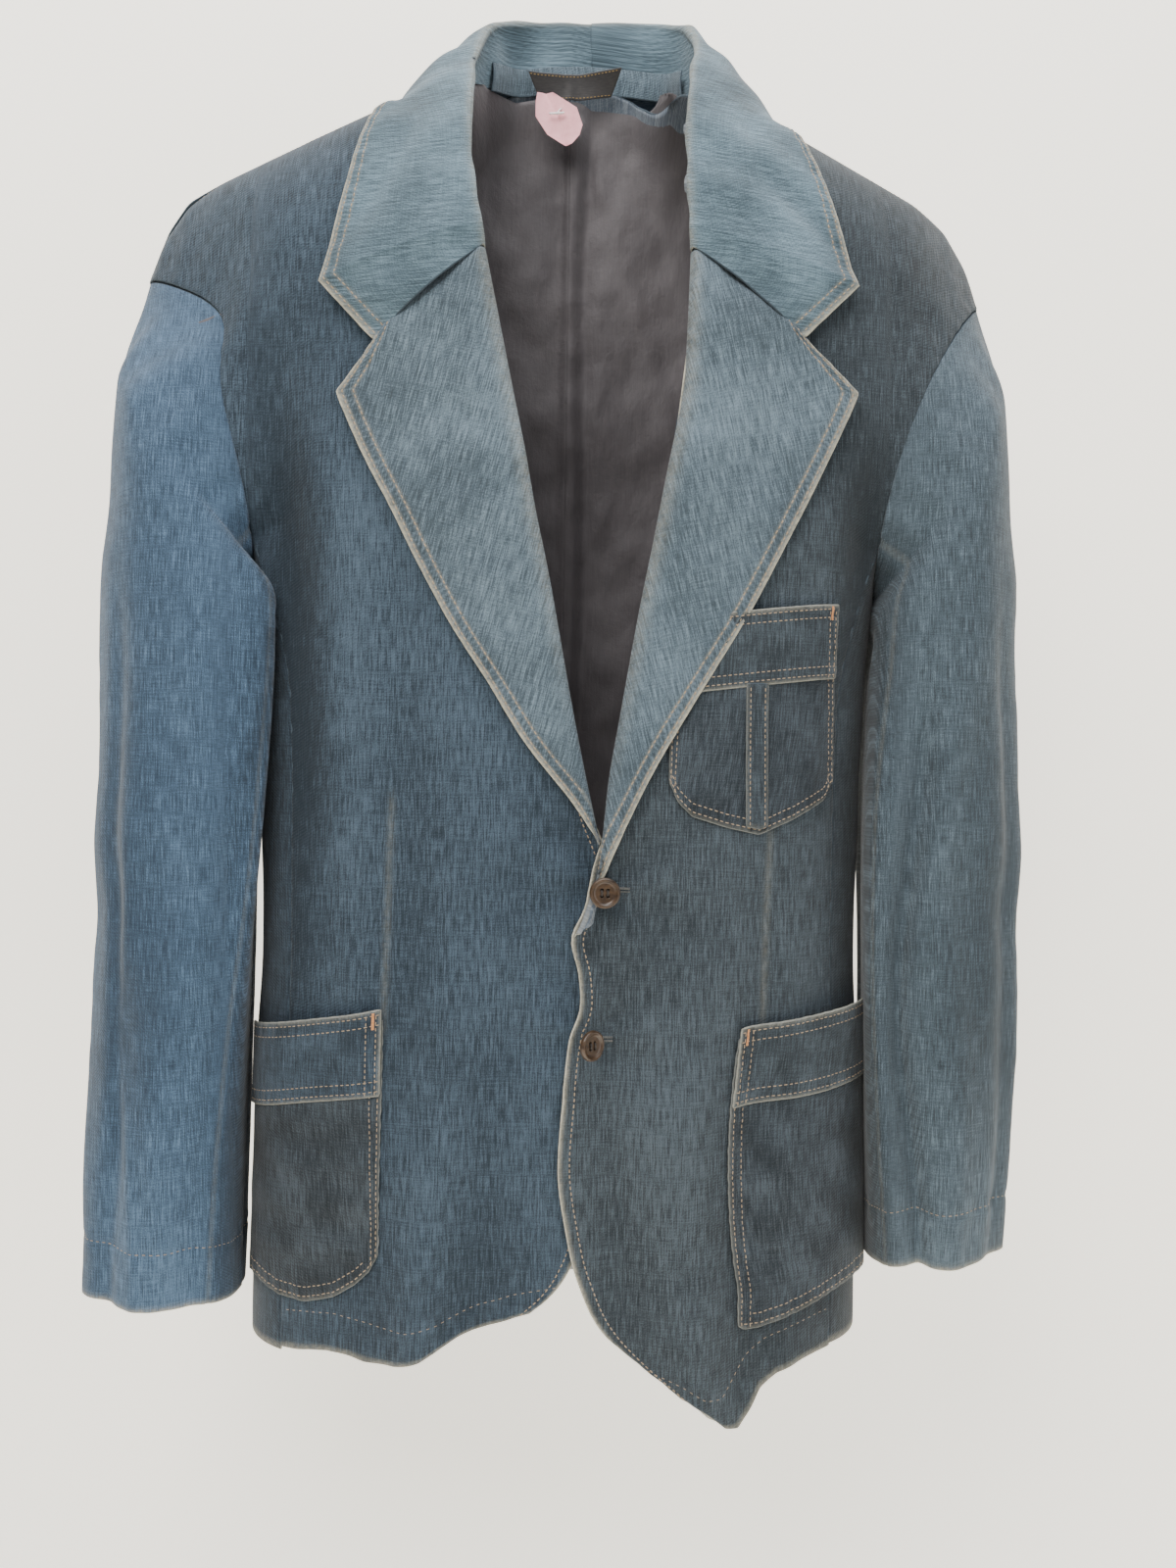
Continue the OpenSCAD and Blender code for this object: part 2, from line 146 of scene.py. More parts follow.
def grid_area(P):
    a = np.cross(P[1:, :-1] - P[:-1, :-1], P[:-1, 1:] - P[:-1, :-1])
    b = np.cross(P[1:, :-1] - P[1:, 1:], P[:-1, 1:] - P[1:, 1:])
    return (np.linalg.norm(a, axis=-1).sum() + np.linalg.norm(b, axis=-1).sum()) / 2 * 1e-6


PIECES = {}


def make(name, verts, faces, mats, face_mat=None, uv=None, wear=None, tone_and_shade=None, edge=None):
    me = bpy.data.meshes.new(name)
    me.from_pydata((np.asarray(verts, float) / 1000).tolist(), [], [list(map(int, f)) for f in faces])
    for m in mats:
        me.materials.append(m)
    if face_mat is not None:
        me.polygons.foreach_set("material_index", np.asarray(face_mat, np.int32))
    me.polygons.foreach_set("use_smooth", np.ones(len(me.polygons), bool))
    idx = np.empty(len(me.loops), np.int32)
    me.loops.foreach_get("vertex_index", idx)
    far = np.full((len(verts), 2), FAR)
    for key, val in (("uv", uv), ("edge", far if edge is None else edge)):
        if val is not None:
            lay = me.uv_layers.new(name=key)
            lay.data.foreach_set("uv", (np.asarray(val, float)[idx] / 1000).astype(np.float32).ravel())
    n = len(verts)
    # wear is real rubbing; the second attribute is a colour shift, partly random and partly painted light and
    # shade
    for key, val in (("wear", wear), ("tone_and_shade", tone_and_shade)):
        at = me.attributes.new(key, "FLOAT", "POINT")
        at.data.foreach_set("value", (np.zeros(n) if val is None else np.asarray(val)).astype(np.float32))
    me.update()
    ob = bpy.data.objects.new(name, me)
    bpy.context.scene.collection.objects.link(ob)
    PIECES[name] = ob
    return ob


def shell(name, P, mats, facing=None, t=1.3, uv=None, wear=None, tone_and_shade=None, wrap=False, edge=None):
    """A closed, thin fabric layer whose outer face is the grid P (rows, columns, 3)."""
    m, n = P.shape[:2]
    N, du, dv = normals(P, wrap)
    sign = 1.0
    if facing is not None:
        f = facing(P) if callable(facing) else np.asarray(facing, float)
        if np.mean(np.sum(N * f, -1)) < 0:
            sign = -1.0
            N = -N
    Q = P - N * t
    if uv is None:
        uv = np.stack([arc(P, 1), arc(P, 0)], -1)
    wear = np.zeros((m, n)) if wear is None else wear
    tone_and_shade = np.zeros((m, n)) if tone_and_shade is None else tone_and_shade
    idx = np.arange(m * n).reshape(m, n)
    if wrap:
        loops = [(idx[0], -dv[0]), (idx[-1], dv[-1])]
    else:
        border = np.concatenate([idx[0, :-1], idx[:-1, -1], idx[-1, :0:-1], idx[:0:-1, 0]])
        out = np.concatenate([-dv[0, :-1], du[:-1, -1], dv[-1, :0:-1], -du[:0:-1, 0]])
        loops = [(border, out)]
    flat = lambda a: a.reshape(-1, a.shape[-1])
    V = [flat(P), flat(Q)]
    U = [flat(uv), flat(uv)]
    edge = np.full((m, n, 2), FAR) if edge is None else edge
    D = [flat(edge), np.full((m * n, 2), FAR)]
    W = [wear.ravel(), wear.ravel() * 0.5]
    T = [tone_and_shade.ravel(), tone_and_shade.ravel()]
    F, M = [], []
    a, b, c, d = idx[:-1, :-1], idx[:-1, 1:], idx[1:, 1:], idx[1:, :-1]
    if wrap:
        a, b = idx[:-1], np.roll(idx[:-1], -1, 1)
        d, c = idx[1:], np.roll(idx[1:], -1, 1)
    k = m * n
    q = np.stack([a, b, c, d], -1).reshape(-1, 4)
    if sign < 0:
        q = q[:, ::-1]
    F += q.tolist()
    M += [0] * len(q)
    F += (q[:, ::-1] + k).tolist()
    M += [1] * len(q)
    base = 2 * k
    Pf, Nf = flat(P), flat(N)
    for li, (border, out) in enumerate(loops):
        mid = Pf[border] - Nf[border] * t * 0.5 + out * t * 0.5
        V.append(mid)
        U.append(flat(uv)[border])
        D.append(np.full((len(border), 2), FAR))
        W.append(np.clip(wear.ravel()[border] * 1.3, 0, 1))
        T.append(tone_and_shade.ravel()[border])
        j = np.arange(len(border))
        j2 = np.roll(j, -1)
        f1 = np.stack([border[j2], border[j], base + j, base + j2], -1)
        f2 = np.stack([base + j2, base + j, border[j] + k, border[j2] + k], -1)
        flip = (sign < 0) != (wrap and li == 1)
        if flip:
            f1, f2 = f1[:, ::-1], f2[:, ::-1]
        F += f1.tolist() + f2.tolist()
        M += [2] * (2 * len(border))
        base += len(border)
    ob = make(name, np.concatenate(V), F, mats, M, np.concatenate(U), np.concatenate(W), np.concatenate(T),
              edge=np.concatenate(D))
    ob["area"] = grid_area(np.concatenate([P, P[:, :1]], 1) if wrap else P)
    ob["w"], ob["l"] = arc(P, 1)[:, -1].max() / 1000, arc(P, 0)[-1].max() / 1000
    return ob, N


THREADS = {}


def stitches(group, line, norm, length=2.5, gap=0.8, r=0.3, sink=0.05):
    """Adds short raised thread stitches along a 3-D line to a named group."""
    line, norm = np.asarray(line, float), np.asarray(norm, float)
    s = np.concatenate([[0], np.cumsum(np.linalg.norm(np.diff(line, axis=0), axis=1))])
    step = length + gap
    for k in range(int(s[-1] / step)):
        s0 = k * step + gap / 2
        tt = np.array([s0, s0 + length * 0.25, s0 + length * 0.75, s0 + length])
        pts = np.stack([np.interp(tt, s, line[:, c]) for c in range(3)], -1)
        nn = unit(np.stack([np.interp(tt, s, norm[:, c]) for c in range(3)], -1))
        THREADS.setdefault(group, []).append((pts, nn, r, sink))


def build_threads(name, group, mat):
    V, F = [], []
    base = 0
    for pts, nn, r, sink in THREADS[group]:
        d = unit(pts[-1] - pts[0])
        side = unit(np.cross(nn, d))
        rad = np.array([0.45, 1.0, 1.0, 0.45]) * r
        rise = np.array([-0.9, 0.35, 0.35, -0.9]) * r - sink
        for k in range(4):
            for a in range(6):
                th = 2 * math.pi * a / 6
                V.append(pts[k] + nn[k] * (rise[k] + rad[k] * math.sin(th)) + side[k] * rad[k]
                         * math.cos(th) * 1.1)
        for k in range(3):
            for a in range(6):
                b = (a + 1) % 6
                F.append([base + k * 6 + a, base + k * 6 + b, base + k * 6 + 6 + b, base + k * 6 + 6 + a])
        F.append([base + a for a in range(5, -1, -1)])
        F.append([base + 18 + a for a in range(6)])
        base += 24
    return make(name, V, F, [mat])


# ---------------------------------------------------------------- materials
def nodes_of(name):
    mat = bpy.data.materials.new(name)
    mat.use_nodes = True
    nt = mat.node_tree
    nt.nodes.clear()
    out = nt.nodes.new("ShaderNodeOutputMaterial")
    bs = nt.nodes.new("ShaderNodeBsdfPrincipled")
    link(nt, bs.outputs[0], out.inputs[0])
    return mat, nt, bs


def node(nt, kind, **values):
    n = nt.nodes.new(kind)
    for k, v in values.items():
        if k in n.inputs:
            n.inputs[k].default_value = v
        else:
            setattr(n, k, v)
    return n


def link(nt, a, b):
    nt.links.new(a, b)


def feed(nt, sock, v):
    """Links a socket or sets a plain number or colour on it."""
    if isinstance(v, (int, float)):
        sock.default_value = v
    elif isinstance(v, tuple):
        sock.default_value = (*v, 1.0)
    else:
        link(nt, v, sock)


def math_node(nt, op, a, b=None, c=None, clamp=False):
    n = nt.nodes.new("ShaderNodeMath")
    n.operation = op
    n.use_clamp = clamp
    for i, v in enumerate((a, b, c)):
        if v is not None:
            feed(nt, n.inputs[i], v)
    return n.outputs[0]


def madd(nt, a, b, c, clamp=False):
    return math_node(nt, "MULTIPLY_ADD", a, b, c, clamp)


def mix_col(nt, fac, a, b):
    n = nt.nodes.new("ShaderNodeMix")
    n.data_type = "RGBA"
    for i, v in ((0, fac), (6, a), (7, b)):
        feed(nt, n.inputs[i], v)
    return n.outputs[2]


def uv_scaled(nt, sx, sy, rot=0.0):
    uv = nt.nodes.new("ShaderNodeUVMap")
    uv.uv_map = "uv"
    mp = nt.nodes.new("ShaderNodeMapping")
    mp.inputs["Scale"].default_value = (sx, sy, 1)
    mp.inputs["Rotation"].default_value = (0, 0, rot)
    link(nt, uv.outputs[0], mp.inputs[0])
    return mp.outputs[0]


def uv_at(nt, name):
    uv = nt.nodes.new("ShaderNodeUVMap")
    uv.uv_map = name
    sep = nt.nodes.new("ShaderNodeSeparateXYZ")
    link(nt, uv.outputs[0], sep.inputs[0])
    return sep.outputs[0], sep.outputs[1]


def noise(nt, vec, scale=1.0, detail=2.0, rough=0.55):
    n = node(nt, "ShaderNodeTexNoise", Scale=scale, Detail=detail, Roughness=rough)
    link(nt, vec, n.inputs["Vector"])
    return n.outputs[0]


def attr(nt, name):
    a = nt.nodes.new("ShaderNodeAttribute")
    a.attribute_name = name
    return a.outputs["Fac"]


def ramp(nt, fac, *stops, curve="LINEAR"):
    """A colour ramp through (position, colour) stops."""
    r = nt.nodes.new("ShaderNodeValToRGB")
    r.color_ramp.interpolation = curve
    el = r.color_ramp.elements
    for e, (pos, col) in zip((el[0], el[1]), (stops[0], stops[-1])):
        e.position, e.color = pos, (*col, 1)
    for pos, col in stops[1:-1]:
        el.new(pos).color = (*col, 1)
    link(nt, fac, r.inputs[0])
    return r.outputs[0]


def surface(nt, bs, colour, height, strength, distance, rough, sheen=0.0, spec=0.5):
    """Colour, gloss and relief of a material."""
    link(nt, colour, bs.inputs["Base Color"])
    bs.inputs["Roughness"].default_value = rough
    bs.inputs["Sheen Weight"].default_value = sheen
    bs.inputs["Specular IOR Level"].default_value = spec
    b = node(nt, "ShaderNodeBump", Strength=strength, Distance=distance)
    link(nt, height, b.inputs["Height"])
    link(nt, b.outputs[0], bs.inputs["Normal"])


CREAM = (0.42, 0.39, 0.30)
PUCKER_LINE, PUCKER_WIDTH, PUCKER_STEP = 0.0058, 0.0030, 0.0031


def denim(name, dark, mid, light, slub=1.0, hslub=0.6, cross=False):
    """Washed chambray denim: long thin slubs one way, short ones across, cloudy fading, rubbed edges."""
    mat, nt, bs = nodes_of(name)
    q = (lambda a, b: (b, a)) if cross else (lambda a, b: (a, b))
    v1 = noise(nt, uv_scaled(nt, *q(1350, 75)), detail=3, rough=0.62)
    v2 = noise(nt, uv_scaled(nt, *q(560, 26)), detail=3, rough=0.6)
    h1 = noise(nt, uv_scaled(nt, *q(60, 1150)), detail=2, rough=0.5)
    cloud = noise(nt, uv_scaled(nt, 13, 8), detail=5, rough=0.62)
    fine = noise(nt, uv_scaled(nt, 1500, 1500), detail=1)
    # colour shift from the per-vertex attribute: random variation plus painted light and shade from folds and
    # recesses
    s = math_node(nt, "MULTIPLY", attr(nt, "tone_and_shade"), 0.5)
    for field, amount in ((v1, 2.1 * slub), (v2, 0.6 * slub), (h1, hslub), (fine, 0.9), (cloud, 0.6)):
        s = madd(nt, math_node(nt, "SUBTRACT", field, 0.5), amount, s)
    # a stitched edge: short puckers between its two rows of stitches
    eu, ev = uv_at(nt, "edge")
    band = math_node(nt, "MULTIPLY", math_node(nt, "SUBTRACT", ev, PUCKER_LINE), 1 / PUCKER_WIDTH)
    band = math_node(nt, "EXPONENT", math_node(nt, "MULTIPLY", math_node(nt, "MULTIPLY", band, band), -1.0))
    wob = math_node(nt, "MULTIPLY", noise(nt, uv_scaled(nt, 70, 70), detail=2), 9.0)
    lad = math_node(nt, "SINE", madd(nt, eu, 2 * math.pi / PUCKER_STEP, wob))
    lad = math_node(nt, "MULTIPLY", lad, band)
    s = madd(nt, lad, 0.12, s)
    cloth = ramp(nt, math_node(nt, "ADD", s, 0.5), (0.0, dark), (0.5, mid), (1.0, light), curve="B_SPLINE")
    wn = noise(nt, uv_scaled(nt, 300, 300), detail=3, rough=0.7)
    w = math_node(nt, "MULTIPLY", attr(nt, "wear"), madd(nt, wn, 2.4, -0.45, clamp=True), clamp=True)
    tw = node(nt, "ShaderNodeTexWave", Scale=1.0, Distortion=0.6)
    tw.bands_direction = "X"
    link(nt, uv_scaled(nt, 190, 190, math.radians(62)), tw.inputs["Vector"])
    hgt = math_node(nt, "MULTIPLY", tw.outputs["Fac"], 0.35)
    for field, amount in ((v1, 0.9), (h1, 0.5), (lad, 0.4)):
        hgt = madd(nt, field, amount, hgt)
    surface(nt, bs, mix_col(nt, w, cloth, CREAM), hgt, 0.6, 0.0006, rough=0.88, sheen=0.12, spec=0.2)
    bs.inputs["Sheen Roughness"].default_value = 0.5
    return mat


def shades(mid, depth=0.42, rise=2.6):
    return tuple(c * depth for c in mid), mid, tuple(min(c * rise + 0.012, 1) for c in mid)


# painted light: the wearer's right body denim is a lighter, bluer lit copy of the cloth, the left one a
# darker, greyer shaded copy
M_BODY_R = denim("denim_body_right", *shades((0.027, 0.041, 0.057)))
M_BODY_L = denim("denim_body_left", *shades((0.029, 0.038, 0.046)))
# painted light: collar and lapel denim are lighter copies of the body's cloth, for the light from above on
# the top of the coat
M_COLLAR = denim("denim_collar", *shades((0.074, 0.112, 0.138), 0.45, 2.3), slub=0.9, hslub=0.5, cross=True)
M_LAPEL = denim("denim_lapel", *shades((0.068, 0.094, 0.115), 0.45, 2.4))
# painted shade: the pockets' denim is a darker copy of the body's cloth, for the shade over the pockets
M_POCKET = denim("denim_pocket", *shades((0.023, 0.030, 0.037)))
# painted light: the right sleeve's denim is a lighter, bluer lit copy of the cloth, the left sleeve's a
# darker shaded copy
M_SLEEVE_R = denim("denim_sleeve_right", *shades((0.045, 0.077, 0.122)))
M_SLEEVE_L = denim("denim_sleeve_left", *shades((0.050, 0.069, 0.085)))
M_BACK = denim("denim_back", *shades((0.040, 0.064, 0.094)))
M_WRONG = denim("denim_wrong_side", (0.07, 0.09, 0.12), (0.13, 0.16, 0.20), (0.26, 0.29, 0.32))


def worn_edge(name):
    """Cut and folded edges: dark cloth where unworn, bare cream threads where rubbed."""
    mat, nt, bs = nodes_of(name)
    n1 = noise(nt, uv_scaled(nt, 420, 420), detail=3, rough=0.7)
    n2 = noise(nt, uv_scaled(nt, 60, 60), detail=2)
    f = madd(nt, n2, 0.6, madd(nt, n1, 1.5, -0.35))
    bare = ramp(nt, f, (0.15, (0.10, 0.13, 0.16)), (0.5, (0.36, 0.35, 0.29)), (0.9, (0.55, 0.52, 0.42)))
    w = math_node(nt, "MULTIPLY", attr(nt, "wear"), 1.25, clamp=True)
    surface(nt, bs, mix_col(nt, w, (0.042, 0.060, 0.077), bare), n1, 0.7, 0.0006, rough=0.95)
    return mat


M_EDGE = worn_edge("worn_edge")


def satin(name, dark, light):
    mat, nt, bs = nodes_of(name)
    c = noise(nt, uv_scaled(nt, 14, 10), detail=4, rough=0.6)
    v = noise(nt, uv_scaled(nt, 900, 60), detail=2)
    f = madd(nt, v, 0.35, math_node(nt, "MULTIPLY", c, 0.8))
    colour = ramp(nt, madd(nt, attr(nt, "tone_and_shade"), 0.5, f), (0.2, dark), (0.95, light))
    w1 = noise(nt, uv_scaled(nt, 1500, 1500), detail=1)
    cr = noise(nt, uv_scaled(nt, 85, 55), detail=6, rough=0.7)
    surface(nt, bs, colour, madd(nt, w1, 0.08, cr), 0.5, 0.0025, rough=0.64, sheen=0.12, spec=0.35)
    return mat


M_LINING = satin("lining_satin", (0.050, 0.044, 0.049), (0.122, 0.110, 0.116))


def plain(name, dark, light, rough=0.5, scale=90.0, bump_s=0.25, dist=0.0004, stretch=(1, 1, 1), sheen=0.0,
          trans=0.0, coat=0.0):
    mat, nt, bs = nodes_of(name)
    tc = nt.nodes.new("ShaderNodeTexCoord")
    mp = nt.nodes.new("ShaderNodeMapping")
    mp.inputs["Scale"].default_value = stretch
    link(nt, tc.outputs["Object"], mp.inputs[0])
    n1 = noise(nt, mp.outputs[0], scale=scale, detail=4, rough=0.6)
    surface(nt, bs, ramp(nt, n1, (0.3, dark), (0.72, light)), n1, bump_s, dist, rough, sheen)
    bs.inputs["Coat Weight"].default_value = coat
    bs.inputs["Subsurface Weight"].default_value = trans
    return mat


def cloth(mat):
    """A layer's materials: right side, wrong side and cut edge."""
    return [mat, M_WRONG, M_EDGE]


BODY = {-1: M_BODY_R, 1: M_BODY_L}
M_THREAD = plain("topstitch_thread", (0.22, 0.15, 0.09), (0.46, 0.34, 0.22), rough=0.7, scale=900, sheen=0.3)
M_HOLE = plain("buttonhole_thread", (0.05, 0.055, 0.06), (0.14, 0.14, 0.13), rough=0.8, scale=900)
M_TACK = plain("bartack_thread", (0.42, 0.16, 0.05), (0.72, 0.34, 0.13), rough=0.65, scale=900, sheen=0.3)
M_DARKTHREAD = plain("button_thread", (0.012, 0.010, 0.009), (0.05, 0.04, 0.035), rough=0.7, scale=1200)
M_BUTTON = plain("brown_button", (0.022, 0.012, 0.006), (0.080, 0.043, 0.019), rough=0.33, scale=160,
                 bump_s=0.12, stretch=(1, 1, 2.2), coat=0.25)
M_FELT = plain("shoulder_felt", (0.42, 0.39, 0.33), (0.62, 0.58, 0.50), rough=0.95, scale=400, sheen=0.4,
               bump_s=0.6)
M_LABEL = plain("woven_label", (0.010, 0.009, 0.010), (0.032, 0.028, 0.028), rough=0.55, scale=1, bump_s=0.5,
                dist=0.0003, stretch=(260, 260, 2200), sheen=0.3)
M_LABELTHREAD = plain("label_weave", (0.20, 0.12, 0.03), (0.42, 0.28, 0.09), rough=0.5, scale=900)
M_TAG = plain("pink_paper", (0.80, 0.36, 0.40), (0.90, 0.47, 0.50), rough=0.75, scale=220, bump_s=0.15)
M_PIN = plain("pin_plastic", (0.80, 0.80, 0.78), (0.90, 0.90, 0.88), rough=0.3, scale=60, trans=0.2)

# ---------------------------------------------------------------- the garment's outer form
SQ = 2.6
half_w = table([(-840, 187), (-700, 185), (-560, 182), (-450, 183), (-385, 186), (-340, 197), (-310, 216),
                (-280, 236), (-240, 258), (-200, 275), (-100, 290), (60, 292)])
depth_f = table([(-840, 71), (-700, 75), (-560, 78), (-300, 75), (-180, 70), (-90, 62), (0, 58), (60, 58)])
depth_b = table([(-840, 80), (-600, 74), (-300, 80), (-150, 74), (0, 64), (60, 62)])
shoulder = table([(0, 50), (45, 22), (62, -10), (90, -28), (121, -45), (170, -70), (210, -90), (232, -104),
                  (246, -122), (256, -148), (262, -160), (330, -330)])
ROUND_F, ROUND_B = (84.0, 1.9), (60.0, 2.4)


def under_collar(x):
    """The cloth dips under the collar."""
    return 9 * smooth(40, 60, x) * (1 - smooth(92, 118, x))


def rise(x, z, o, shape=ROUND_B):
    x = np.abs(x)
    return np.clip((z - o - shoulder(x) + under_collar(x) + shape[0]) / shape[0], 0, 1)


def rv(x, z, o, shape=ROUND_B):
    return np.maximum(1 - rise(x, z, o, shape) ** shape[1], 0) ** (1 / shape[1])


def rh(x, a):
    return np.maximum(1 - np.minimum(np.abs(x) / a, 1) ** SQ, 0) ** (1 / SQ)


def fold_line(pts, w, amp, z0, z1, soft=40):
    """A soft fold along (x, z) centre points, w wide and amp high, between the heights z0 and z1."""
    zs = np.array([p[1] for p in pts], float)
    xs = np.array([p[0] for p in pts], float)
    o = np.argsort(zs)
    zs, xs = zs[o], xs[o]

    def f(x, z):
        xc = np.interp(z, zs, xs)
        win = smooth(z0 - soft, z0 + soft, z) * (1 - smooth(z1 - soft, z1 + soft, z))
        return amp * bump(x - xc, w) * win
    return f


FRONT_FOLDS = [
    # wearer's right front: long vertical drape beside the sleeve and from the chest
    fold_line([(-178, -200), (-158, -330), (-150, -480)], 17, -8.0, -470, -215),
    fold_line([(-140, -210), (-128, -330), (-122, -470), (-118, -600)], 20, 4.0, -600, -230),
    fold_line([(-104, -250), (-96, -380), (-90, -520), (-92, -640)], 18, -3.0, -640, -330),
    fold_line([(-70, -330), (-58, -470), (-62, -620), (-70, -700)], 26, 2.6, -700, -380),
    fold_line([(-30, -500), (-38, -620), (-56, -765)], 15, -3.4, -790, -560),
    fold_line([(-78, -650), (-84, -775)], 14, 5.0, -800, -690),
    fold_line([(-10, -480), (-60, -545)], 14, -1.8, -560, -450),
    # wearer's left front
    fold_line([(120, -470), (112, -590), (104, -700), (98, -812)], 16, -3.0, -815, -500),
    fold_line([(70, -560), (64, -680), (84, -815)], 22, 6.5, -830, -600),
    fold_line([(30, -560), (22, -650), (36, -760)], 14, -4.0, -780, -560),
    fold_line([(150, -480), (146, -580)], 16, 3.0, -600, -430),
    fold_line([(190, -230), (172, -330), (160, -450)], 14, -6.0, -470, -250),
    fold_line([(46, -520), (60, -600)], 18, -2.4, -640, -480),
]
W1, W2, W3 = waves(3, 120, stretch=(1, 2.2)), waves(4, 46, stretch=(1, 1.8)), waves(5, 15, stretch=(1, 1.4))


def front_disp(x, z):
    d = 0
    for f in FRONT_FOLDS:
        d = d + f(x, z)
    # pulls that run to the two buttons
    for bx, bz, k in ((21, -514, 1.0), (14, -598, 0.7)):
        r = np.hypot(x - bx, z - bz) + 1e-6
        a = np.arctan2(z - bz, x - bx)
        d = d + k * 1.5 * np.sin(5 * a + 0.8) * np.exp(-((r - 26) / 26) ** 2)
        d = d - k * 3.2 * np.exp(-(r / 15) ** 2)
    d = d + 1.6 * W1(x, z) + 0.55 * W2(x, z) + 0.16 * W3(x, z)
    low = smooth(115, 150, np.abs(x)) * (1 - smooth(-540, -480, z))
    return d * (1 - 0.8 * rise(x, z, 0)) * (1 - low)


def front_y(x, z, o=0.0, folds=True):
    y = -(depth_f(z) + o) * rh(x, half_w(z) + o) * rv(x, z, o, ROUND_F)
    if folds:
        y = y - front_disp(x, z)
    return y


BACK_FOLDS = [
    fold_line([(-92, -200), (-80, -400), (-88, -640), (-96, -790)], 30, 4.0, -820, -260),
    fold_line([(84, -240), (92, -430), (82, -660), (90, -790)], 28, 4.5, -820, -300),
    fold_line([(-36, -300), (-42, -520), (-38, -780)], 24, -3.0, -820, -360),
    fold_line([(40, -280), (36, -520), (44, -780)], 22, -3.2, -820, -340),
    fold_line([(150, -250), (140, -420), (136, -640)], 22, -4.0, -660, -270),
    fold_line([(-152, -250), (-142, -420), (-138, -640)], 22, -4.0, -660, -270),
]
B1, B2, B3 = waves(13, 130, stretch=(1, 2.0)), waves(14, 50, stretch=(1, 1.6)), waves(15, 16)


def back_y(x, z, o=0.0):
    y = (depth_b(z) + o) * rh(x, half_w(z) + o) * rv(x, z, o)
    d = 0
    for f in BACK_FOLDS:
        d = d + f(x, z)
    d = d + 1.8 * B1(x, z) + 0.6 * B2(x, z) + 0.15 * B3(x, z)
    # centre-back seam sits in a shallow groove
    d = d - 1.5 * bump(x, 3.0)
    return y + d * (1 - 0.8 * rise(x, z, 0))


def flank(s, a, z, o=0.0):
    c, sn = np.cos(a), np.sin(a)
    w = np.abs(sn) ** (2 / SQ)
    dep = np.where(c > 0, depth_f(z), depth_b(z)) + o
    return np.stack([s * (half_w(z) + o) * w, -np.sign(c) * dep * np.abs(c) ** (2 / SQ), z + 0 * a], -1)


# the armhole: a closed curve, angle 0 at the top of the shoulder, 180 under the arm, negative to the front
def armhole(s, a):
    a = np.asarray(a, float)
    phi = math.radians(70)
    w = 96.0
    e = w + w * np.cos(a)
    x = 192 + e * math.cos(phi)
    z = -334 + e * math.sin(phi)
    y = 60 * np.sin(a)
    pull = np.where(y < 0, 27.0, 10.0) * np.abs(np.sin(a)) ** 1.5
    if s < 0:
        pull = pull + np.where(y < 0, 24.0, 0.0) * bump(np.degrees(np.abs(a)) - 50, 24)
    return np.stack([s * (x - pull), y, z], -1)


def resample(p, n, power=1.0):
    """n points along a polyline, evenly spaced by length, or denser at its end for a power above 1."""
    p = np.asarray(p, float)
    s = np.concatenate([[0], np.cumsum(np.linalg.norm(np.diff(p, axis=0), axis=1))])
    t = (1 - (1 - np.linspace(0, 1, n)) ** power) * s[-1]
    return np.stack([np.interp(t, s, p[:, c]) for c in range(p.shape[1])], -1)


def edge_mask(P, left=None, right=None, bottom=None, top=None):
    """Wear near the given sides of a grid, each a reach in mm."""
    w = np.zeros(P.shape[:2])
    U, V = arc(P, 1), arc(P, 0)
    if left:
        w = np.maximum(w, np.exp(-(U / left) ** 1.5))
    if right:
        w = np.maximum(w, np.exp(-((U[:, -1:] - U) / right) ** 1.5))
    if bottom:
        w = np.maximum(w, np.exp(-(V / bottom) ** 1.5))
    if top:
        w = np.maximum(w, np.exp(-((V[-1:] - V) / top) ** 1.5))
    return w


def pucker(P, N, side, reach=9.0, amp=0.45, wave=13.0, seed=1, offset=0.0):
    """Ripples the cloth along one stitched side, as a seam that shrank in the wash."""
    U, V = arc(P, 1), arc(P, 0)
    if side == "left":
        d, s = U, V
    elif side == "right":
        d, s = U[:, -1:] - U, V
    elif side == "bottom":
        d, s = V, U
    else:
        d, s = V[-1:] - V, U
    r = np.random.default_rng(seed)
    ph = r.uniform(0, 6, 3)
    k = 2 * math.pi / wave
    w = (np.sin(k * s + 1.3 * np.sin(s / 31 + ph[0]) + ph[1]) * 0.7 + np.sin(k * 0.61 * s + ph[2]) * 0.5)
    return P + N * (amp * w * np.exp(-((d - offset) / reach) ** 2))[..., None]


# ---------------------------------------------------------------- side panels
SIDE = {}


def side_grid(s, n=44):
    th = np.radians(np.linspace(55.5, 125, n))
    ring_a = -np.radians(np.linspace(140, 220, n))
    z = np.linspace(-783, -345, 90)
    P = np.stack([flank(s, th, np.full(n, zz)) for zz in z])
    w = smooth(-405, -345, z)[:, None, None]
    ring = armhole(s, ring_a)[None]
    P = P * (1 - w) + ring * w
    d = 1.6 * W1(P[..., 1] + 40, P[..., 2]) + 0.5 * W2(P[..., 1], P[..., 2] + 9)
    edge = np.sin(np.linspace(0, math.pi, n))[None, :]
    P[..., 0] += s * d * edge * (1 - w[..., 0])
    return P


for s, key in SIDES:
    P = side_grid(s)
    SIDE[s] = P
    uv = np.stack([arc(P, 1), P[..., 2] + UV_UP], -1)
    # painted shade: the side panels are darkened all over, for the shade they lie in under the arms
    ob, N = shell(f"{key}_side_panel_cloth", P, cloth(BODY[s]),
                  facing=lambda p: p * [1, 1, 0], uv=uv, tone_and_shade=-0.35 * np.ones(P.shape[:2]),
                  wear=0.5 * edge_mask(P, bottom=1.6))
    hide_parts(f"{key}_side_panel")

# ---------------------------------------------------------------- fronts
RF, CF = 210, 130


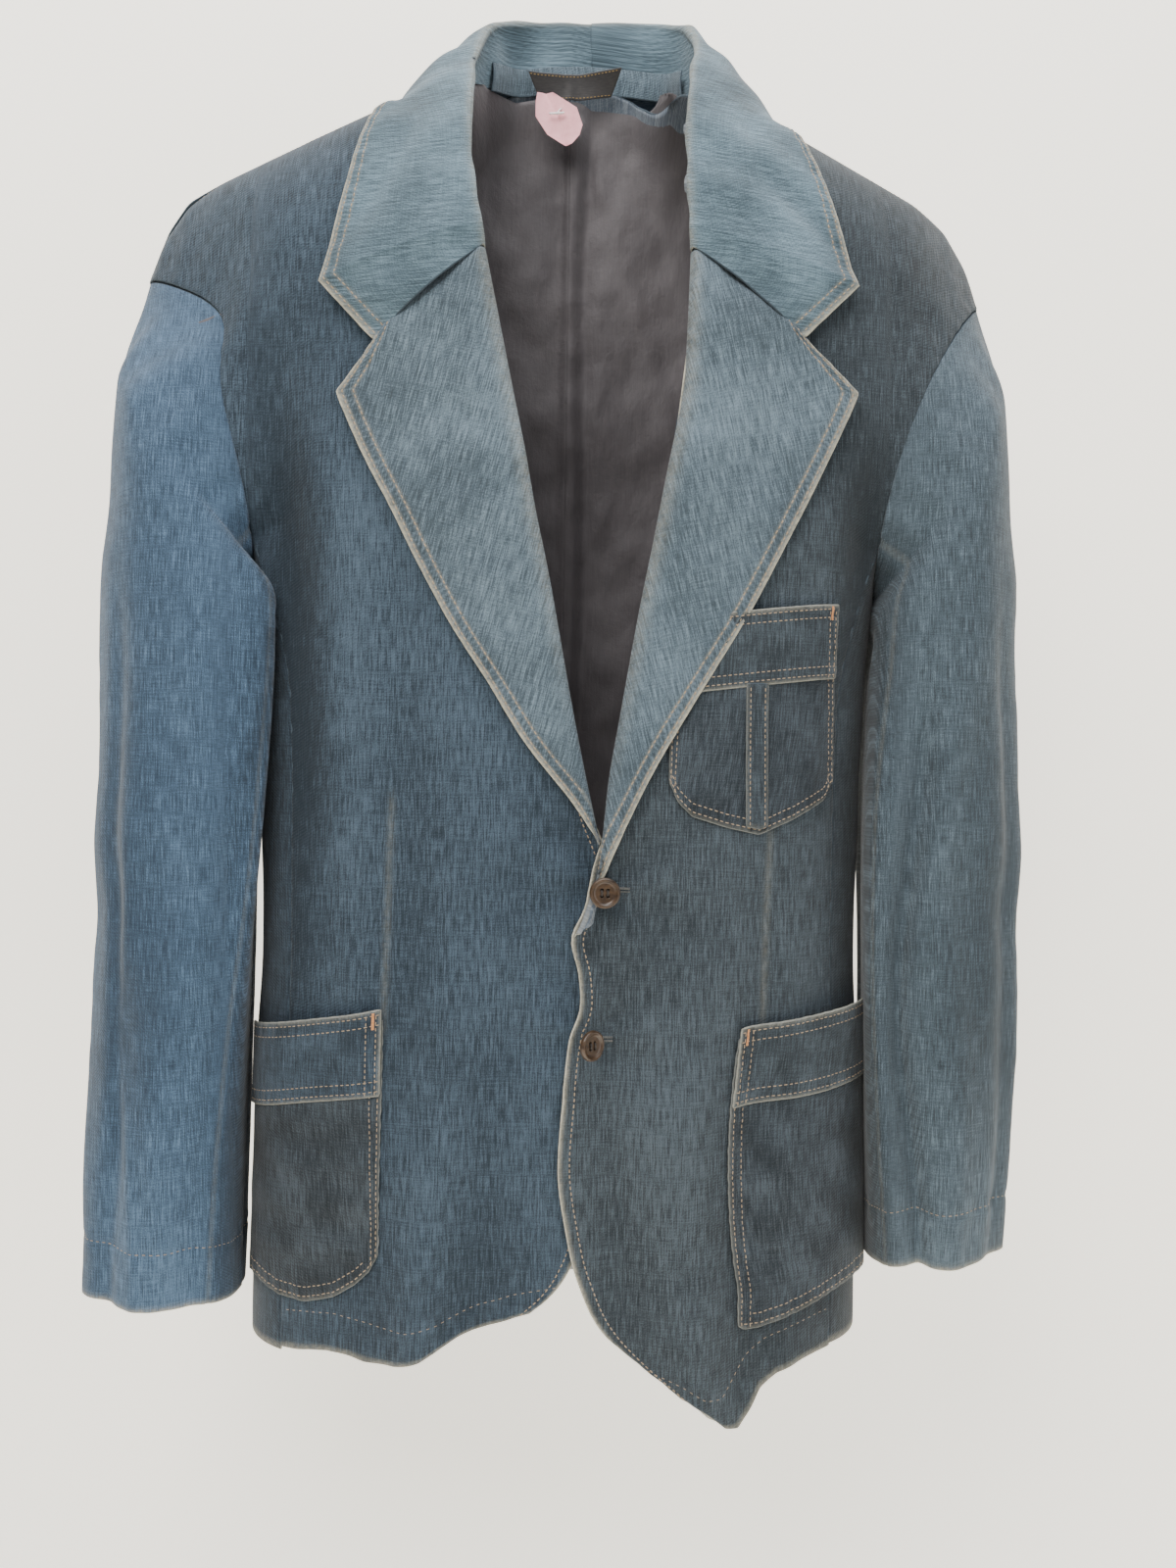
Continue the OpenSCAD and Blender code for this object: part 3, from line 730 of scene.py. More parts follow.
GX = np.linspace(0, 300, 900)
GA = np.concatenate([[0], np.cumsum(np.hypot(np.diff(GX),
                    np.diff(76 * np.maximum(1 - np.minimum(GX / 184, 1) ** SQ, 0) ** (1 / SQ))))])


def grain(x):
    """Distance round the body from the middle plane, so that the cloth's threads stay upright."""
    return np.sign(x) * np.interp(np.abs(x), GX, GA) + 400


def corrected(P, target, reach, at_top=True):
    """Moves rows near the top or bottom in z so that the last one follows target(x)."""
    row = P[-1] if at_top else P[0]
    delta = target(np.abs(row[:, 0]) if at_top else row[:, 0]) - row[:, 2]
    V = np.abs(P[..., 2] - row[None, :, 2])
    w = 1 - smooth(0, reach, V)
    P[..., 2] += delta[None, :] * w
    return P


def seam_reach(x):
    """How far in front of the ridge the shoulder seam lies."""
    return 0.4 + 24 * smooth(60, 84, x) * (1 - 0.55 * smooth(110, 215, x)) * (1 - smooth(222, 254, x))


def ridge_drop(x, y):
    d = depth_f(shoulder(x) - 12) * rh(x, half_w(-160.0))
    return ROUND_F[0] * (1 - np.maximum(1 - (np.abs(y) / d) ** ROUND_F[1], 0) ** (1 / ROUND_F[1]))


def front_top(x):
    return shoulder(x) - ridge_drop(x, seam_reach(x)) - under_collar(x)


def front_grid(s, inner, hem, o):
    n1 = SIDE[s][:, 0]
    ring = armhole(s, -np.radians(np.linspace(140, 0, 60)))
    outer = resample(np.concatenate([n1, ring[1:]]), RF, 1.15)
    inner = resample(spline(inner, 500), RF, 1.15)
    inner[:, 0] += s * 4.5 * smooth(-505, -465, inner[:, 1])
    u = np.linspace(0, 1, CF)
    x = inner[:, None, 0] + (outer[:, None, 0] - inner[:, None, 0]) * u
    z = inner[:, None, 1] + (outer[:, None, 2] - inner[:, None, 1]) * u
    P = np.stack([x, np.zeros_like(x), z], -1)
    P = corrected(P, front_top, 95)
    P = corrected(P, hem, 60, at_top=False)
    P[..., 1] = front_y(P[..., 0], P[..., 2], o)
    b = P[:, -1]
    fix = outer[:, 1] - front_y(b[:, 0], b[:, 2], o)
    P[..., 1] += fix[:, None] * smooth(0.72, 1.0, u)[None, :]
    return P


RIGHT_INNER = [(-17, -753), (-1, -737), (10, -715), (22, -676), (27, -620), (28, -560), (26, -510),
               (13, -452), (-4, -372), (-20, -290), (-35, -210), (-47, -152), (-55, -100), (-60, -55),
               (-63, -28), (-64, -9)]
LEFT_INNER = [(66, -797), (27, -766), (10, -733), (2, -700), (-2, -670), (0, -634), (3, -600), (9, -580),
              (8, -560), (4, -540), (12, -519), (20, -470), (36, -372), (50, -290), (60, -210), (68, -152),
              (72, -100), (73, -55), (73, -28), (72, -13)]
HEM_R = table([(-170, -783), (-150, -780), (-132, -778), (-110, -782), (-94, -783), (-78, -779), (-58, -767),
               (-40, -759), (-17, -753), (0, -750)])
HEM_L = table([(50, -787), (66, -797), (84, -809), (95, -819), (103, -820), (109, -811), (116, -799),
               (126, -791), (140, -787), (152, -785), (175, -782)])

FRONT = {}
for s, key, inner, hem, o, mat in ((-1, "right", RIGHT_INNER, HEM_R, 0.0, M_BODY_R),
                                   (1, "left", LEFT_INNER, HEM_L, 3.6, M_BODY_L)):
    P = front_grid(s, inner, hem, o)
    N = faced(P, -1)
    P = pucker(P, N, "bottom", reach=12, amp=0.6, wave=24, seed=3 + s)
    P = pucker(P, N, "right", reach=7, amp=0.35, wave=11, seed=5 + s)
    P = pucker(P, N, "left", reach=10, amp=0.4, wave=17, seed=8 + s)
    # front dart: a shallow pressed groove
    dart = 115.0 if s > 0 else -100.0
    g = bump(P[..., 0] - dart - 0.02 * (P[..., 2] + 530), 2.0) * smooth(-600, -590, P[..., 2]) * (
        1 - smooth(-470, -455, P[..., 2]))
    P[..., 1] += 0.9 * g
    uv = np.stack([grain(P[..., 0]), P[..., 2] + UV_UP], -1)
    wear = np.maximum(0.75 * edge_mask(P, left=1.2), 0.5 * edge_mask(P, bottom=1.6))
    wear = np.maximum(wear, 0.35 * edge_mask(P, top=1.6))
    wear = np.maximum(wear, 0.12 * g)
    disp = front_disp(P[..., 0], P[..., 2])
    # painted light and shade: lighter on raised folds and darker in their hollows, over a random cloudy
    # variation
    tone_and_shade = 0.045 * disp + 0.25 * W1(P[..., 0] * 0.6, P[..., 2] * 0.5)
    # painted shade: a dark vertical band on the body next to each sleeve, from pocket height up to the chest
    shade_beside_sleeve = bump(P[..., 0] + 158 - 0.04 * (P[..., 2] + 400), 20) if s < 0 else bump(P[..., 0] - 170, 16)
    tone_and_shade = tone_and_shade - 0.8 * shade_beside_sleeve * smooth(-700, -560, P[..., 2]) * (1 - smooth(-300, -220, P[..., 2]))
    ob, N = shell(f"{key}_front_cloth", P, cloth(mat), facing=(0, -1, 0), uv=uv, wear=wear, tone_and_shade=tone_and_shade, t=1.4)
    FRONT[s] = (P, N, ob)

# ---------------------------------------------------------------- backs
BACK = {}


def back_grid(s):
    n1 = SIDE[s][:, -1]
    ring = armhole(s, np.radians(np.linspace(140, 0, 60)))
    outer = resample(np.concatenate([n1, ring[1:]]), RF, 1.15)
    inner = resample([(0.0, -790), (0.0, 14)], RF, 1.15)
    u = np.linspace(0, 1, CF)
    x = inner[:, None, 0] + (outer[:, None, 0] - inner[:, None, 0]) * u
    z = inner[:, None, 1] + (outer[:, None, 2] - inner[:, None, 1]) * u
    P = np.stack([x, np.zeros_like(x), z], -1)
    top = table([(0, 14), (30, 9), (50, 0), (62, -10), (90, -28), (121, -45), (170, -70), (210, -90),
                 (232, -104), (246, -122), (256, -148), (262, -160)])
    P = corrected(P, lambda x: top(x) - under_collar(x), 95)
    P[..., 1] = back_y(P[..., 0], P[..., 2])
    b = P[:, -1]
    fix = outer[:, 1] - back_y(b[:, 0], b[:, 2])
    P[..., 1] += fix[:, None] * smooth(0.72, 1.0, u)[None, :]
    ax = np.abs(P[-1, :, 0])
    reach = seam_reach(ax) - 0.4
    over = [P[-1] - np.stack([0 * ax, reach * f, ridge_drop(ax, reach * f)], -1) for f in np.linspace(0, 1,
            12)[1:]]
    keep = 0.05 * np.arange(1, 12)[:, None] * (reach < 0.5)
    over = np.stack(over)
    over[..., 1] -= keep
    return np.concatenate([P, over])


for s, key in SIDES:
    P = back_grid(s)
    N = faced(P, 1)
    P = pucker(P, N, "bottom", reach=12, amp=0.6, wave=24, seed=13 + s)
    P = pucker(P, N, "left", reach=8, amp=0.4, wave=15, seed=15 + s)
    uv = np.stack([grain(P[..., 0]), P[..., 2] + UV_UP + 0.4 * P[..., 1]], -1)
    ob, N = shell(f"{key}_back_cloth", P, cloth(M_BACK), facing=(0, 1, 0), uv=uv,
                  wear=0.5 * edge_mask(P, bottom=1.6),
                  tone_and_shade=0.3 * B1(P[..., 0] * 0.6, P[..., 2] * 0.5), t=1.4)
    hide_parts(f"{key}_back")
    BACK[s] = (P, N, ob)

# ---------------------------------------------------------------- sleeves
# ring: tilt, underarm x, underarm z, half width, half depth, middle y, front bulge inwards
RINGS_R = [
    (70, 192, -334, 96, 60, 0, 0), (62, 191, -337, 79, 66, 0, 9), (50, 190, -341, 61, 71, -1, 20),
    (34, 190, -347, 48, 73, -2, 30), (16, 190, -358, 44, 74, -4, 34), (3, 190, -380, 42.5, 73, -6, 34),
    (0, 190, -430, 42, 71, -9, 32), (0, 190, -500, 42, 68, -13, 26), (0, 190, -580, 42.5, 63, -17, 17),
    (0, 190, -660, 43, 58, -20, 10), (0, 190, -710, 43, 54, -22, 7), (0, 190, -750, 43, 51, -23, 5)]
RINGS_L = [
    (70, 192, -334, 96, 60, 0, 0), (62, 191, -337, 79, 66, 0, 1), (50, 190, -341, 61, 70, -1, 3),
    (34, 190, -347, 48, 72, -2, 8), (16, 190, -358, 44, 73, -3, 12), (3, 190, -380, 42, 72, -5, 14),
    (0, 190, -430, 42, 70, -8, 19), (0, 190, -500, 42, 67, -12, 23), (0, 190, -580, 41.5, 62, -16, 22),
    (0, 190, -660, 40.5, 57, -18, 17), (0, 190, -700, 39.5, 53, -20, 13), (0, 190, -731, 39, 50, -21, 10)]
SW = [waves(31, 150, stretch=(1, 2.6)), waves(32, 60, stretch=(1, 2.0)), waves(33, 20, stretch=(1, 1.5))]
SLV = {}


def sleeve_grid(s, rings, rows=230, cols=200):
    """Rings from the armhole to the cuff; angle 0 is outside, negative in front, 180 under the arm."""
    r = spline(rings, 1400)
    key = np.concatenate([[0], np.cumsum(np.hypot(np.hypot(np.diff(r[:, 1] + r[:, 3]), np.diff(r[:, 2])),
                                                   1.1 * np.radians(np.diff(r[:, 0])) * 60))])
    t = np.linspace(0, key[-1], rows)
    r = np.stack([np.interp(t, key, r[:, c]) for c in range(7)], -1)
    g = kernel(13)
    for c in range(7):
        pad = np.concatenate([2 * r[0, c] - r[6:0:-1, c], r[:, c], 2 * r[-1, c] - r[-2:-8:-1, c]])
        r[:, c] = np.convolve(pad, g, "valid")
    a = np.linspace(-math.pi, math.pi, cols, endpoint=False)[None, :]
    phi, ux, uz, w, d, yc, blg = [r[:, c][:, None] for c in range(7)]
    phi = np.radians(phi)
    ca, sa = np.cos(a), np.sin(a)
    e = w + w * ca
    x = ux + e * np.cos(phi)
    z = uz + e * np.sin(phi)
    y = yc + d * sa
    front = np.exp(-((np.degrees(a) + 128) / 40) ** 2)
    x = x - blg * front
    t01 = np.linspace(0, 1, rows)[:, None]
    deg = np.degrees(a) + 0 * t01
    along = z
    d1 = 0
    if s < 0:
        fl = [(-62, 9, -5.0, .22, 1.0), (-98, 10, 3.4, .18, .95), (-128, 9, -3.2, .30, 1.0),
              (-32, 12, 2.6, .1, .9), (-76, 5, 1.8, .45, 1.0), (-8, 13, -3.0, .25, .9)]
    else:
        fl = [(-112, 7, -11.0, .34, 1.0), (-134, 9, 3.5, .34, 1.0), (-92, 11, 4.5, .30, 1.0),
              (-52, 10, -4.0, .22, .95), (-30, 12, 3.5, .20, .9), (-5, 11, -3.0, .30, .9)]
    fl += [(60, 16, 4.0, .2, .95), (110, 14, -4.0, .25, 1.0), (160, 12, 3.0, .3, 1.0)]
    for c0, wd, amp, t0, t1 in fl:
        drift = 6 * np.sin(t01 * 5 + c0) + 3 * np.sin(t01 * 13 + c0 * 2)
        dd = (deg - c0 - drift + 180) % 360 - 180
        d1 = d1 + amp * bump(dd, wd) * smooth(t0 - .1, t0 + .1, t01) * (1 - 0.35 * smooth(t1 - .05,
            t1 + .05, t01))
    # the cap's fullness gathers in short ripples under the armhole seam
    cap = np.exp(-((t01 - 0.035) / 0.03) ** 2)
    d1 = d1 + 0.9 * cap * np.sin(np.radians(deg) * 17 + 1.5 * np.sin(np.radians(deg) * 3))
    d1 = d1 + 3.2 * smooth(0.0, 0.05, t01) * (1 - smooth(0.06, 0.22, t01))
    per = deg * 1.1
    grow = smooth(0.02, 0.2, t01)
    wrap_f = np.cos(np.radians(deg / 2)) ** 0.5
    d1 = d1 + grow * wrap_f * (1.6 * SW[0](per + s * 40, along) + 0.5 * SW[1](per + s * 60, along)
                               + 0.12 * SW[2](per, along))
    # slanting elbow creases
    eb = np.exp(-((along + 500 + 0.25 * deg) / 26) ** 2) - np.exp(-((along + 540 + 0.25 * deg) / 22) ** 2)
    d1 = d1 + 1.8 * eb * np.exp(-((deg + 60) / 55) ** 2)
    x = x + d1 * ca * np.cos(phi)
    z = z + d1 * ca * np.sin(phi)
    y = y + d1 * sa
    # the hem dips between two lobes, as cloth does round a flattened tube
    hem = smooth(0.93, 1.0, t01)
    z = z + hem * (6 * np.cos(np.radians(deg) * 2 + 2.4) + 3 * np.cos(np.radians(deg) * 3 + 1))
    # keep clear of the body's flank
    tx = (half_w(z) + 3) * rh(y, np.where(y < 0, depth_f(z) + 3, depth_b(z) + 8))
    low = 1 - smooth(-378, -352, z)
    x = np.where(x < tx, x + (tx - x) * low, x)
    return np.stack([s * x, y, z], -1), a


for s, key, rings, mat in ((-1, "right", RINGS_R, M_SLEEVE_R), (1, "left", RINGS_L, M_SLEEVE_L)):
    P, a = sleeve_grid(s, rings)
    deg = np.degrees(a)[0]
    # blend the first rows on to the armhole seam
    ring = armhole(s, a[0])
    w = (1 - smooth(0, 14, np.arange(P.shape[0])))[:, None, None]
    P = P * (1 - w) + (ring[None] + (P - P[:1])) * w
    N, _, _ = normals(P, wrap=True)
    if np.mean(np.sum(N * (P - P.mean(1, keepdims=True)), -1)) < 0:
        N = -N
    # seams between the top and under sleeve: grooves at two angles
    g = 0
    seam_deg = (-134.0, 112.0)
    for sd in seam_deg:
        g = g + bump(((deg - sd + 180) % 360 - 180), 1.5)
    P = P - N * (0.9 * g[None, :, None])
    U = arc(np.concatenate([P, P[:, :1]], 1), 1)[:, :-1]
    V = arc(P, 0)
    cuff = V[-1:] - V
    P = P - N * (0.6 * bump(cuff - 32, 1.6))[..., None]
    P = P + N * (0.45 * np.sin(U / 3.1 + np.sin(U / 17)) * np.exp(-((cuff - 32) / 6) ** 2))[..., None]
    uu = (deg * 0.93)[None, :] + 0 * V
    side = np.clip((s * P[..., 0] - 232) / 43, -3, 1)
    turn = np.arcsin(np.maximum(side, -1)) + np.minimum(side + 1, 0)
    outer = turn[:, np.argmin(np.abs(deg))][:, None]
    uv = np.stack([60 * np.where(deg[None] < 0, turn, 2 * outer - turn) + 300, P[..., 2] + UV_UP], -1)
    wear = 0.14 * np.repeat(g[None], P.shape[0], 0)
    wear = np.maximum(wear, 0.6 * np.exp(-(cuff / 1.5) ** 1.5))
    # painted shade: darker towards the underside of the sleeve, which faces the body; the wave term is random
    # variation
    tone_and_shade = 0.3 * SW[0](uu, P[..., 2]) - 0.5 * smooth(110, 150, np.abs(deg))[None, :] * np.ones(P.shape[:2])
    facing = lambda p: p - p.mean(1, keepdims=True)
    top = (deg > seam_deg[0]) & (deg <= seam_deg[1])
    ob, N = shell(f"{key}_sleeve_cloth", P, [mat, M_LINING, M_EDGE], facing=facing, uv=uv, wear=wear,
                  tone_and_shade=tone_and_shade, wrap=True, t=1.4)
    SLV[s] = (P, N, ob, deg)
    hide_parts(f"{key}_top_sleeve", f"{key}_under_sleeve")
    # lining tube, a little shorter than the cuff
    Q = P[12:-8:2, ::2] - N[12:-8:2, ::2] * 4.2
    lo, _ = shell(f"{key}_sleeve_lining_cloth", Q, [M_LINING] * 3, facing=facing, wrap=True, t=0.5)
    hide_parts(f"{key}_sleeve_lining")

# ---------------------------------------------------------------- lapels
LAPEL = {
    # row: roll point (x, z), edge point (x, z), from the break up to the gorge
    -1: [((19, -488), (16, -484)), ((13, -462), (2, -463)), ((6, -430), (-24, -431)),
         ((0, -400), (-46, -396)), ((-6, -368), (-66, -366)), ((-13, -332), (-86, -330)),
         ((-20, -300), (-100, -302)), ((-26, -268), (-115, -274)),
         ((-32, -240), (-127, -248)), ((-35, -226), (-131.5, -237))],
    1: [((14, -531), (5, -538)), ((17, -510), (15, -517)), ((20, -480), (31, -480)), ((23, -450), (47, -447)),
        ((28, -420), (62, -421)), ((33, -390), (82, -388)), ((39, -355), (102, -355)),
        ((46, -318), (121, -318)), ((53, -280), (140, -280)), ((60, -245), (156, -246)),
        ((63, -226), (163, -229))]}
GORGE = {-1: ((-50, -154), (-112, -208), (-131.5, -237)), 1: ((66, -152), (131, -200), (163, -229))}


def lapel_grid(s):
    rows = np.array([[*a, *b] for a, b in LAPEL[s]], float)
    low = spline(rows, 150)
    gi, notch, tip = [np.array(p, float) for p in GORGE[s]]
    k = 64
    R2 = np.linspace(0, 1, k)[:, None] * (gi - low[-1, :2]) + low[-1, :2]
    Et = np.linspace(0, 1, k)[:, None] * (notch - tip) + tip
    R = np.concatenate([low[:, :2], R2[1:]])
    E = np.concatenate([low[:, 2:], Et[1:]])
    g = kernel(9)
    for c in range(2):
        pad = np.concatenate([np.full(4, E[0, c]), E[:, c], np.full(4, E[-1, c])])
        sm = np.convolve(pad, g, "valid")
        E[4:-4, c] = sm[4:-4]
    # a few rows more run on under the collar
    along = (gi - notch) / np.linalg.norm(gi - notch)
    up = np.array([-along[1], along[0]])
    up = up if up[1] > 0 else -up
    f = np.linspace(0, 1, 6)[1:, None]
    R = np.concatenate([R, gi + up * 4 * f])
    E = np.concatenate([E, notch + up * 4 * f + along * 7 * f])
    return R, E


def lapel_height(S, sdist, v):
    """How far the lapel stands in front of the front's cloth."""
    roll = 4.0 + 4.5 * np.exp(-sdist / 26) * (0.35 + 0.65 * v)
    lift = 2.2 * smooth(0.55, 1.0, sdist / np.maximum(S, 1)) * smooth(0.25, 0.9, v)
    return 2.6 + roll * 0.55 + lift


LAP = {}
for s, key in SIDES:
    o = LIFT[s]
    R, E = lapel_grid(s)
    m = len(R)
    v = np.linspace(0, 1, m)[:, None]
    D = E - R
    S = np.linalg.norm(D, axis=1)[:, None]
    D = D / S
    rho = np.minimum(4.0, 0.45 * S)
    # columns: inside part, arc, face
    q_in, q_arc, q_face = np.linspace(1, 0, 12)[:-1], np.linspace(1, 0, 12)[:-1], np.linspace(0, 1, 90)
    sd, hh = [], []
    for q in q_in:
        sd.append(rho + q * np.minimum(26, 0.9 * S)); hh.append(-rho * 0.8 + 0 * S)
    for q in q_arc:
        ang = math.pi * q
        sd.append(rho - rho * math.sin(ang)); hh.append(rho * math.cos(ang) * np.where(math.cos(ang) < 0,
            0.8, 1.0))
    f0 = len(sd)
    for q in q_face:
        sd.append(rho + q * (S - rho))
        hh.append(0 * S)
    sd, hh = np.concatenate(sd, 1), np.concatenate(hh, 1)
    face = np.zeros_like(sd, bool)
    face[:, f0:] = True
    height = lapel_height(S, sd, v)
    h0 = height[:, f0:f0 + 1]
    hh = np.where(face, height, hh * (h0 / rho) * np.where(hh > 0, 1, rho / h0))
    x = R[:, :1] + D[:, :1] * sd
    z = R[:, 1:] + D[:, 1:] * sd
    y = front_y(x, z, o) - hh
    P = np.stack([x, y, z], -1)
    N, _, _ = normals(P)
    if np.mean(N[:, f0 + 20:, 1]) > 0:
        N = -N
    U, V = arc(P, 1), arc(P, 0)
    dist = U[:, -1:] - U
    # double topstitching sinks the edge; between the rows the cloth stands up
    for c in ROWS:
        P = P - N * (0.45 * bump(dist - c, 0.9) * face)[..., None]
    P = P + N * (0.4 * np.sin(V / 2.3 + 1.4 * np.sin(V / 19)) * np.exp(-((dist - 6) / 6) ** 2) * face)[...,
        None]
    P = P + N * (0.9 * waves(50 + s, 55)(x, z) * face * smooth(6, 26, sd) * smooth(2, 14, dist))[..., None]
    # grain of the lapel runs along its edge
    ang = math.radians(14 * s)
    uv = np.stack([x * math.cos(ang) + z * math.sin(ang) + 400, -x * math.sin(ang) + z * math.cos(ang)
                   + UV_UP], -1)
    wear = np.maximum(np.exp(-(dist / 1.7) ** 1.5), 0.55 * bump(dist - ROWS[0], 0.9))
    wear = np.maximum(wear, 0.35 * bump(dist - ROWS[1], 1.0))
    wear = np.maximum(wear, 0.22 * bump(sd - rho * 0.4, 5) * smooth(0.1, 0.5, v))
    tone_and_shade = 0.22 * waves(70 + s, 90)(x, z) - 0.25 * np.exp(-(dist / 13) ** 2) + 0 * x
    tuck = np.zeros(P.shape[0])
    tuck[-6:] = np.linspace(0, 1, 6)
    P[..., 1] += 2.2 * tuck[:, None]
    wear = wear * (1 - np.minimum(2 * tuck, 1))[:, None]
    ob, N = shell(f"{key}_lapel_cloth", P, cloth(M_LAPEL), uv=uv, wear=wear, tone_and_shade=tone_and_shade, t=1.5,
                  facing=lambda p: np.array([0, -1.0, 0]) * (np.arange(p.shape[1]) > f0 + 4)[None, :, None],
                  edge=np.stack([V, dist], -1))
    LAP[s] = (P, N, ob, f0, dist, S)


def inset(P, N, side, off, a=0.0, b=1.0):
    """A line that runs along one side of a grid, off mm inside it, from a to b of the side's length."""
    if side in ("left", "right"):
        G, H = P, N
    else:
        G, H = P.transpose(1, 0, 2), N.transpose(1, 0, 2)
    U = arc(G, 1)
    d = U if side in ("left", "bottom") else U[:, -1:] - U
    if side in ("right", "top"):
        G, H, d = G[:, ::-1], H[:, ::-1], d[:, ::-1]
    line, nor = [], []
    for i in range(int(a * (len(G) - 1)), int(b * (len(G) - 1)) + 1):
        line.append([np.interp(off, d[i], G[i, :, c]) for c in range(3)])
        nor.append([np.interp(off, d[i], H[i, :, c]) for c in range(3)])
    return np.array(line), unit(np.array(nor))


def trace(P, N, x, z, step=1.5):
    """Points on a grid nearest to an (x, z) path."""
    path = resample(np.stack([x, z], -1), int(np.hypot(np.ptp(x), np.ptp(z)) / step) + 2)
    flat, nf = P.reshape(-1, 3), N.reshape(-1, 3)
    pts, nor = [], []
    for px, pz in path:
        d = (flat[:, 0] - px) ** 2 + (flat[:, 2] - pz) ** 2
        k = np.argpartition(d, 4)[:4]
        w = 1 / (d[k] + 0.3)
        w = w / w.sum()
        pts.append([px, (flat[k, 1] * w).sum(), pz])
        nor.append((nf[k] * w[:, None]).sum(0))
    return np.array(pts), unit(np.array(nor))


# ---------------------------------------------------------------- collar
COLLAR = {
    1: ([(14, 60, 60), (46, 57, 60), (66, 46, 53), (76, 26, 39), (76, -2, 10), (70, -32, -24), (65, -56, -62),
         (64, -70, -105), (65, -76, -140)],
        [(14, 78, 2), (56, 74, -2), (90, 60, -10), (114, 36, -26), (129, 6, -35), (139, -27, -79),
         (148, -50, -114), (156, -66, -146), (162, -75, -168)],
        [(14, 63, 15), (44, 60, 12), (64, 50, 5), (74, 26, -6), (80, -4, -24), (77, -34, -58), (73, -52, -98),
         (71, -62, -130), (71, -66, -150)]),
    -1: ([(14, 60, 60), (-12, 58, 58), (-32, 48, 51), (-50, 26, 36), (-57, -2, 6), (-60, -32, -30),
          (-60, -56, -70), (-57, -70, -112), (-52, -76, -142)],
         [(14, 78, 2), (-28, 74, -2), (-66, 60, -10), (-94, 36, -26), (-111, 6, -35), (-123, -27, -79),
          (-129, -50, -113), (-136, -66, -147), (-142, -75, -176)],
         [(14, 63, 15), (-14, 60, 12), (-36, 52, 5), (-54, 26, -6), (-64, -4, -24), (-68, -34, -60),
          (-66, -54, -106), (-62, -63, -138), (-59, -66, -154)])}
COL = {}
